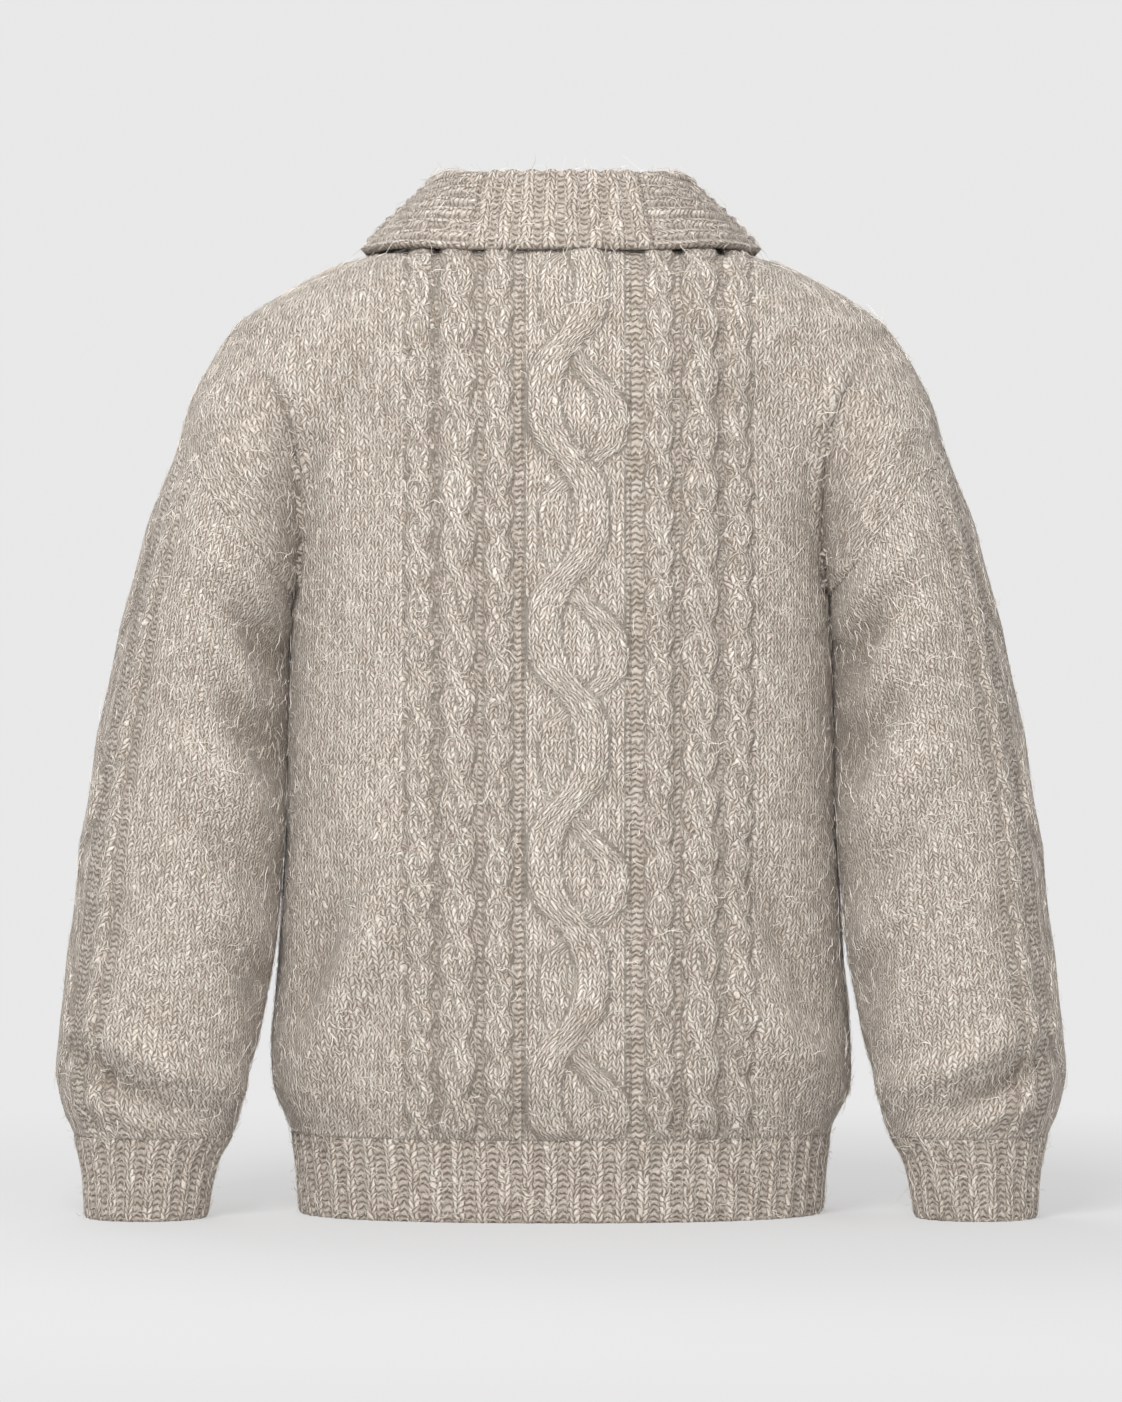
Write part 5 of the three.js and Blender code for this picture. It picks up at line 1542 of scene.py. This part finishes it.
@dataclass(frozen=True)
class WoolFinish:
    """Brushed oatmeal wool: its three fibre colours and how deep its stitches stand."""

    name: str
    light: tuple[float, float, float, float]
    middle: tuple[float, float, float, float]
    dark: tuple[float, float, float, float]
    stitch_depth: float = 0.0016
    fuzz_depth: float = 0.0006
    sheen: float = 0.18

    def material(self) -> bpy.types.Material:
        """Builds the material once: stitches and fuzz as two bumps, marl as colour, darkened by painted shade.

        Returns:
            The material.
        """
        found = bpy.data.materials.get(self.name)
        if found:
            return found
        material = bpy.data.materials.new(self.name)
        material.use_nodes = True
        material.node_tree.nodes.clear()
        t = NodeTree(material.node_tree)
        place = t.add("ShaderNodeTexCoord").outputs["Object"]
        stitch_map = t.add("ShaderNodeUVMap", uv_map="Stitches").outputs[0]
        purl = t.add("ShaderNodeAttribute", attribute_name="purl").outputs["Fac"]
        # painted shade in hollows, read from each piece's attribute
        painted_shade = t.add("ShaderNodeAttribute", attribute_name="painted_shade").outputs["Fac"]
        drift = t.add("ShaderNodeTexNoise", {"Vector": place, "Scale": 130.0, "Detail": 2.0}).outputs[1]
        stitches = t.add("ShaderNodeGroup", node_tree=stitch_group())
        for key, value in (("Map", stitch_map), ("Purl", purl), ("Drift", drift)):
            t.tree.links.new(value, stitches.inputs[key])
        wool = t.add("ShaderNodeGroup", node_tree=marl_group())
        fed = {"Place": place, "PaintedShade": painted_shade} | {key: stitches.outputs[key] for key in ("GapShade", "Shade", "Streak")}
        for key, value in fed.items():
            t.tree.links.new(value, wool.inputs[key])
        for key, value in (("Light", self.light), ("Middle", self.middle), ("Dark", self.dark)):
            wool.inputs[key].default_value = value
        low = t.add("ShaderNodeBump", {"Height": stitches.outputs["Height"], "Distance": self.stitch_depth})
        top = t.add("ShaderNodeBump", {
            "Height": wool.outputs["Fuzz"], "Distance": self.fuzz_depth, "Normal": low.outputs[0],
        })
        shader = t.add("ShaderNodeBsdfPrincipled", {
            "Base Color": wool.outputs["Color"], "Roughness": 0.95, "Sheen Weight": self.sheen,
            "Sheen Roughness": 0.5, "Specular IOR Level": 0.15, "Normal": top.outputs[0],
        })
        t.add("ShaderNodeOutputMaterial", {"Surface": shader.outputs[0]})
        return material


    def fibre_material(self) -> bpy.types.Material:
        """Builds the loose fibres' material once: middle to light, by each fibre's own shade.

        Returns:
            The material.
        """
        name = f"{self.name}_fibres"
        found = bpy.data.materials.get(name)
        if found:
            return found
        material = bpy.data.materials.new(name)
        material.use_nodes = True
        material.node_tree.nodes.clear()
        t = NodeTree(material.node_tree)
        shade = t.add("ShaderNodeAttribute", attribute_name="shade").outputs["Fac"]
        colour = t.mix(t.math("MULTIPLY", shade, 0.8), self.middle, self.light)
        shader = t.add("ShaderNodeBsdfPrincipled", {
            "Base Color": colour, "Roughness": 0.8, "Specular IOR Level": 0.1,
        })
        t.add("ShaderNodeOutputMaterial", {"Surface": shader.outputs[0]})
        return material


@dataclass
class Studio:
    """Pale floor, soft light from above and in front of the back, and the camera level with the garment."""

    camera_distance: float = 4.5
    camera_height: float = 0.357
    frame_width: float = 0.785
    ground: float = 0.57
    backdrop: float = 0.812

    def camera(self) -> None:
        """Puts the camera behind the garment, level, with the lens that frames the photograph's width."""
        data = bpy.data.cameras.new("camera")
        data.sensor_fit = "HORIZONTAL"
        data.sensor_width = 36
        data.lens = 36 * self.camera_distance / self.frame_width
        data.clip_end = 60
        obj = bpy.data.objects.new("camera", data)
        obj.location = (0, self.camera_distance + DEPTH_SHIFT * MM, self.camera_height)
        obj.rotation_euler = (math.pi / 2, 0, math.pi)
        bpy.context.scene.collection.objects.link(obj)
        bpy.context.scene.camera = obj

    def floor(self) -> None:
        """Lays a wide pale floor."""
        mesh = bpy.data.meshes.new("floor")
        half = 14.0
        corners = [(-half, -half, 0), (half, -half, 0), (half, half, 0), (-half, half, 0)]
        mesh.from_pydata(corners, [], [(0, 1, 2, 3)])
        obj = bpy.data.objects.new("floor", mesh)
        bpy.context.scene.collection.objects.link(obj)
        material = bpy.data.materials.new("pale_floor")
        material.use_nodes = True
        material.node_tree.nodes.clear()
        t = NodeTree(material.node_tree)
        place = t.add("ShaderNodeTexCoord").outputs["Object"]
        away = t.add("ShaderNodeVectorMath", {0: place}, operation="LENGTH").outputs["Value"]
        far = t.add("ShaderNodeMapRange", {0: away, 1: 0.5, 2: 1.2, 3: 0.5, 4: 1.0}).outputs[0]
        paper = t.add("ShaderNodeBsdfDiffuse", {"Color": (self.ground,) * 3 + (1,)})
        glow = t.add("ShaderNodeEmission", {"Color": (self.backdrop,) * 3 + (1,), "Strength": 1.0})
        both = t.add("ShaderNodeMixShader", {0: far, 1: paper.outputs[0], 2: glow.outputs[0]})
        t.add("ShaderNodeOutputMaterial", {"Surface": both.outputs[0]})
        mesh.materials.append(material)

    def light(self) -> None:
        """Sets an even pale sky and three wide soft lamps."""
        world = bpy.data.worlds.new("studio")
        bpy.context.scene.world = world
        world.use_nodes = True
        world.node_tree.nodes.clear()
        t = NodeTree(world.node_tree)
        seen = t.add("ShaderNodeBackground", {"Color": (self.backdrop,) * 3 + (1,), "Strength": 1.0})
        lit = t.add("ShaderNodeBackground", {"Color": (1, 1, 1, 1), "Strength": 0.62})
        path = t.add("ShaderNodeLightPath")
        both = t.add("ShaderNodeMixShader", {0: path.outputs["Is Camera Ray"], 1: lit.outputs[0], 2: seen.outputs[0]})
        t.add("ShaderNodeOutputWorld", {"Surface": both.outputs[0]})
        self.lamp("above", (0.6, 2.4, 2.2), (0, 0, 0.35), 1.1, 76)
        self.lamp("low_fill", (-0.5, 3.4, 0.5), (0, 0, 0.2), 1.4, 33)
        self.lamp("front_fill", (0.8, -2.2, 2.2), (0, 0, 0.35), 2.0, 40)

    @staticmethod
    def lamp(name: str, place: tuple[float, float, float], aim: tuple[float, float, float], size: float,
             power: float) -> None:
        """Adds one square lamp.

        Args:
            name: Name of the lamp.
            place: Where it stands, in metres.
            aim: The point it faces.
            size: Side of its square, in metres.
            power: Its power in watts.
        """
        data = bpy.data.lights.new(name, "AREA")
        data.size = size
        data.energy = power
        obj = bpy.data.objects.new(name, data)
        obj.location = place
        obj.rotation_euler = (Vector(aim) - Vector(place)).to_track_quat("-Z", "Y").to_euler()
        bpy.context.scene.collection.objects.link(obj)


KNIT = WoolFinish(
    "oatmeal_knit", (0.93, 0.88, 0.81, 1), (0.64, 0.567, 0.494, 1), (0.25, 0.20, 0.155, 1),
)
# Same wool as the knit, with its three colours painted darker as shade for the hem, cuffs and collar.
SHADED_RIB = WoolFinish(
    "oatmeal_rib_shaded", (0.87, 0.815, 0.745, 1), (0.585, 0.512, 0.44, 1), (0.22, 0.172, 0.135, 1),
)


def sweater_pieces() -> list[tuple[KnitPiece, WoolFinish]]:
    """Returns each sewn piece with its flat cut and its finish, in the order they are built."""
    return [
        (Panel("back", "knit", (0.58, 0.66), 0.36, ("hem_rib",), face=Face.BACK, layout_centre=-12.3,
               folds=BACK_FOLDS), KNIT),
        (Panel("front", "knit", (0.58, 0.66), 0.34, ("hem_rib",), face=Face.FRONT, cable=WaveCable(3.5),
               folds=FRONT_FOLDS), KNIT),
        (Sleeve("sleeve_left", "knit", (0.46, 0.5), None, ("cuff_left",), side=Side.LEFT), KNIT),
        (Sleeve("sleeve_right", "knit", (0.46, 0.5), None, ("cuff_right",), side=Side.RIGHT), KNIT),
        (Cuff("cuff_left", "rib", (0.27, 0.057), None, ("floor",), side=Side.LEFT, ribs=21, cols=168, rise=2.2), SHADED_RIB),
        (Cuff("cuff_right", "rib", (0.27, 0.057), None, ("floor",), side=Side.RIGHT, ribs=21, cols=168, rise=2.2),
         SHADED_RIB),
        (Hem("hem_rib", "rib", (0.95, 0.057), None, ("floor",), ribs=60, cols=480, rise=2.6), SHADED_RIB),
        (CollarBack("collar_back", "rib", (0.12, 0.11), None, ("back",)), SHADED_RIB),
        (CollarSide("collar_left", "rib", (0.3, 0.11), None, ("back", "front"), side=Side.LEFT, rise=3.1), SHADED_RIB),
        (CollarSide("collar_right", "rib", (0.3, 0.11), None, ("back", "front"), side=Side.RIGHT, rise=3.1), SHADED_RIB),
    ]


def main() -> None:
    """Sets the studio and builds each piece."""
    logging.basicConfig(level=logging.INFO, format="%(name)s %(message)s")
    scene = bpy.context.scene
    scene.view_settings.view_transform = "Standard"
    studio = Studio()
    studio.camera()
    studio.floor()
    studio.light()
    for piece, finish in sweater_pieces():
        piece.dress(finish)


if __name__ == "__main__":
    main()
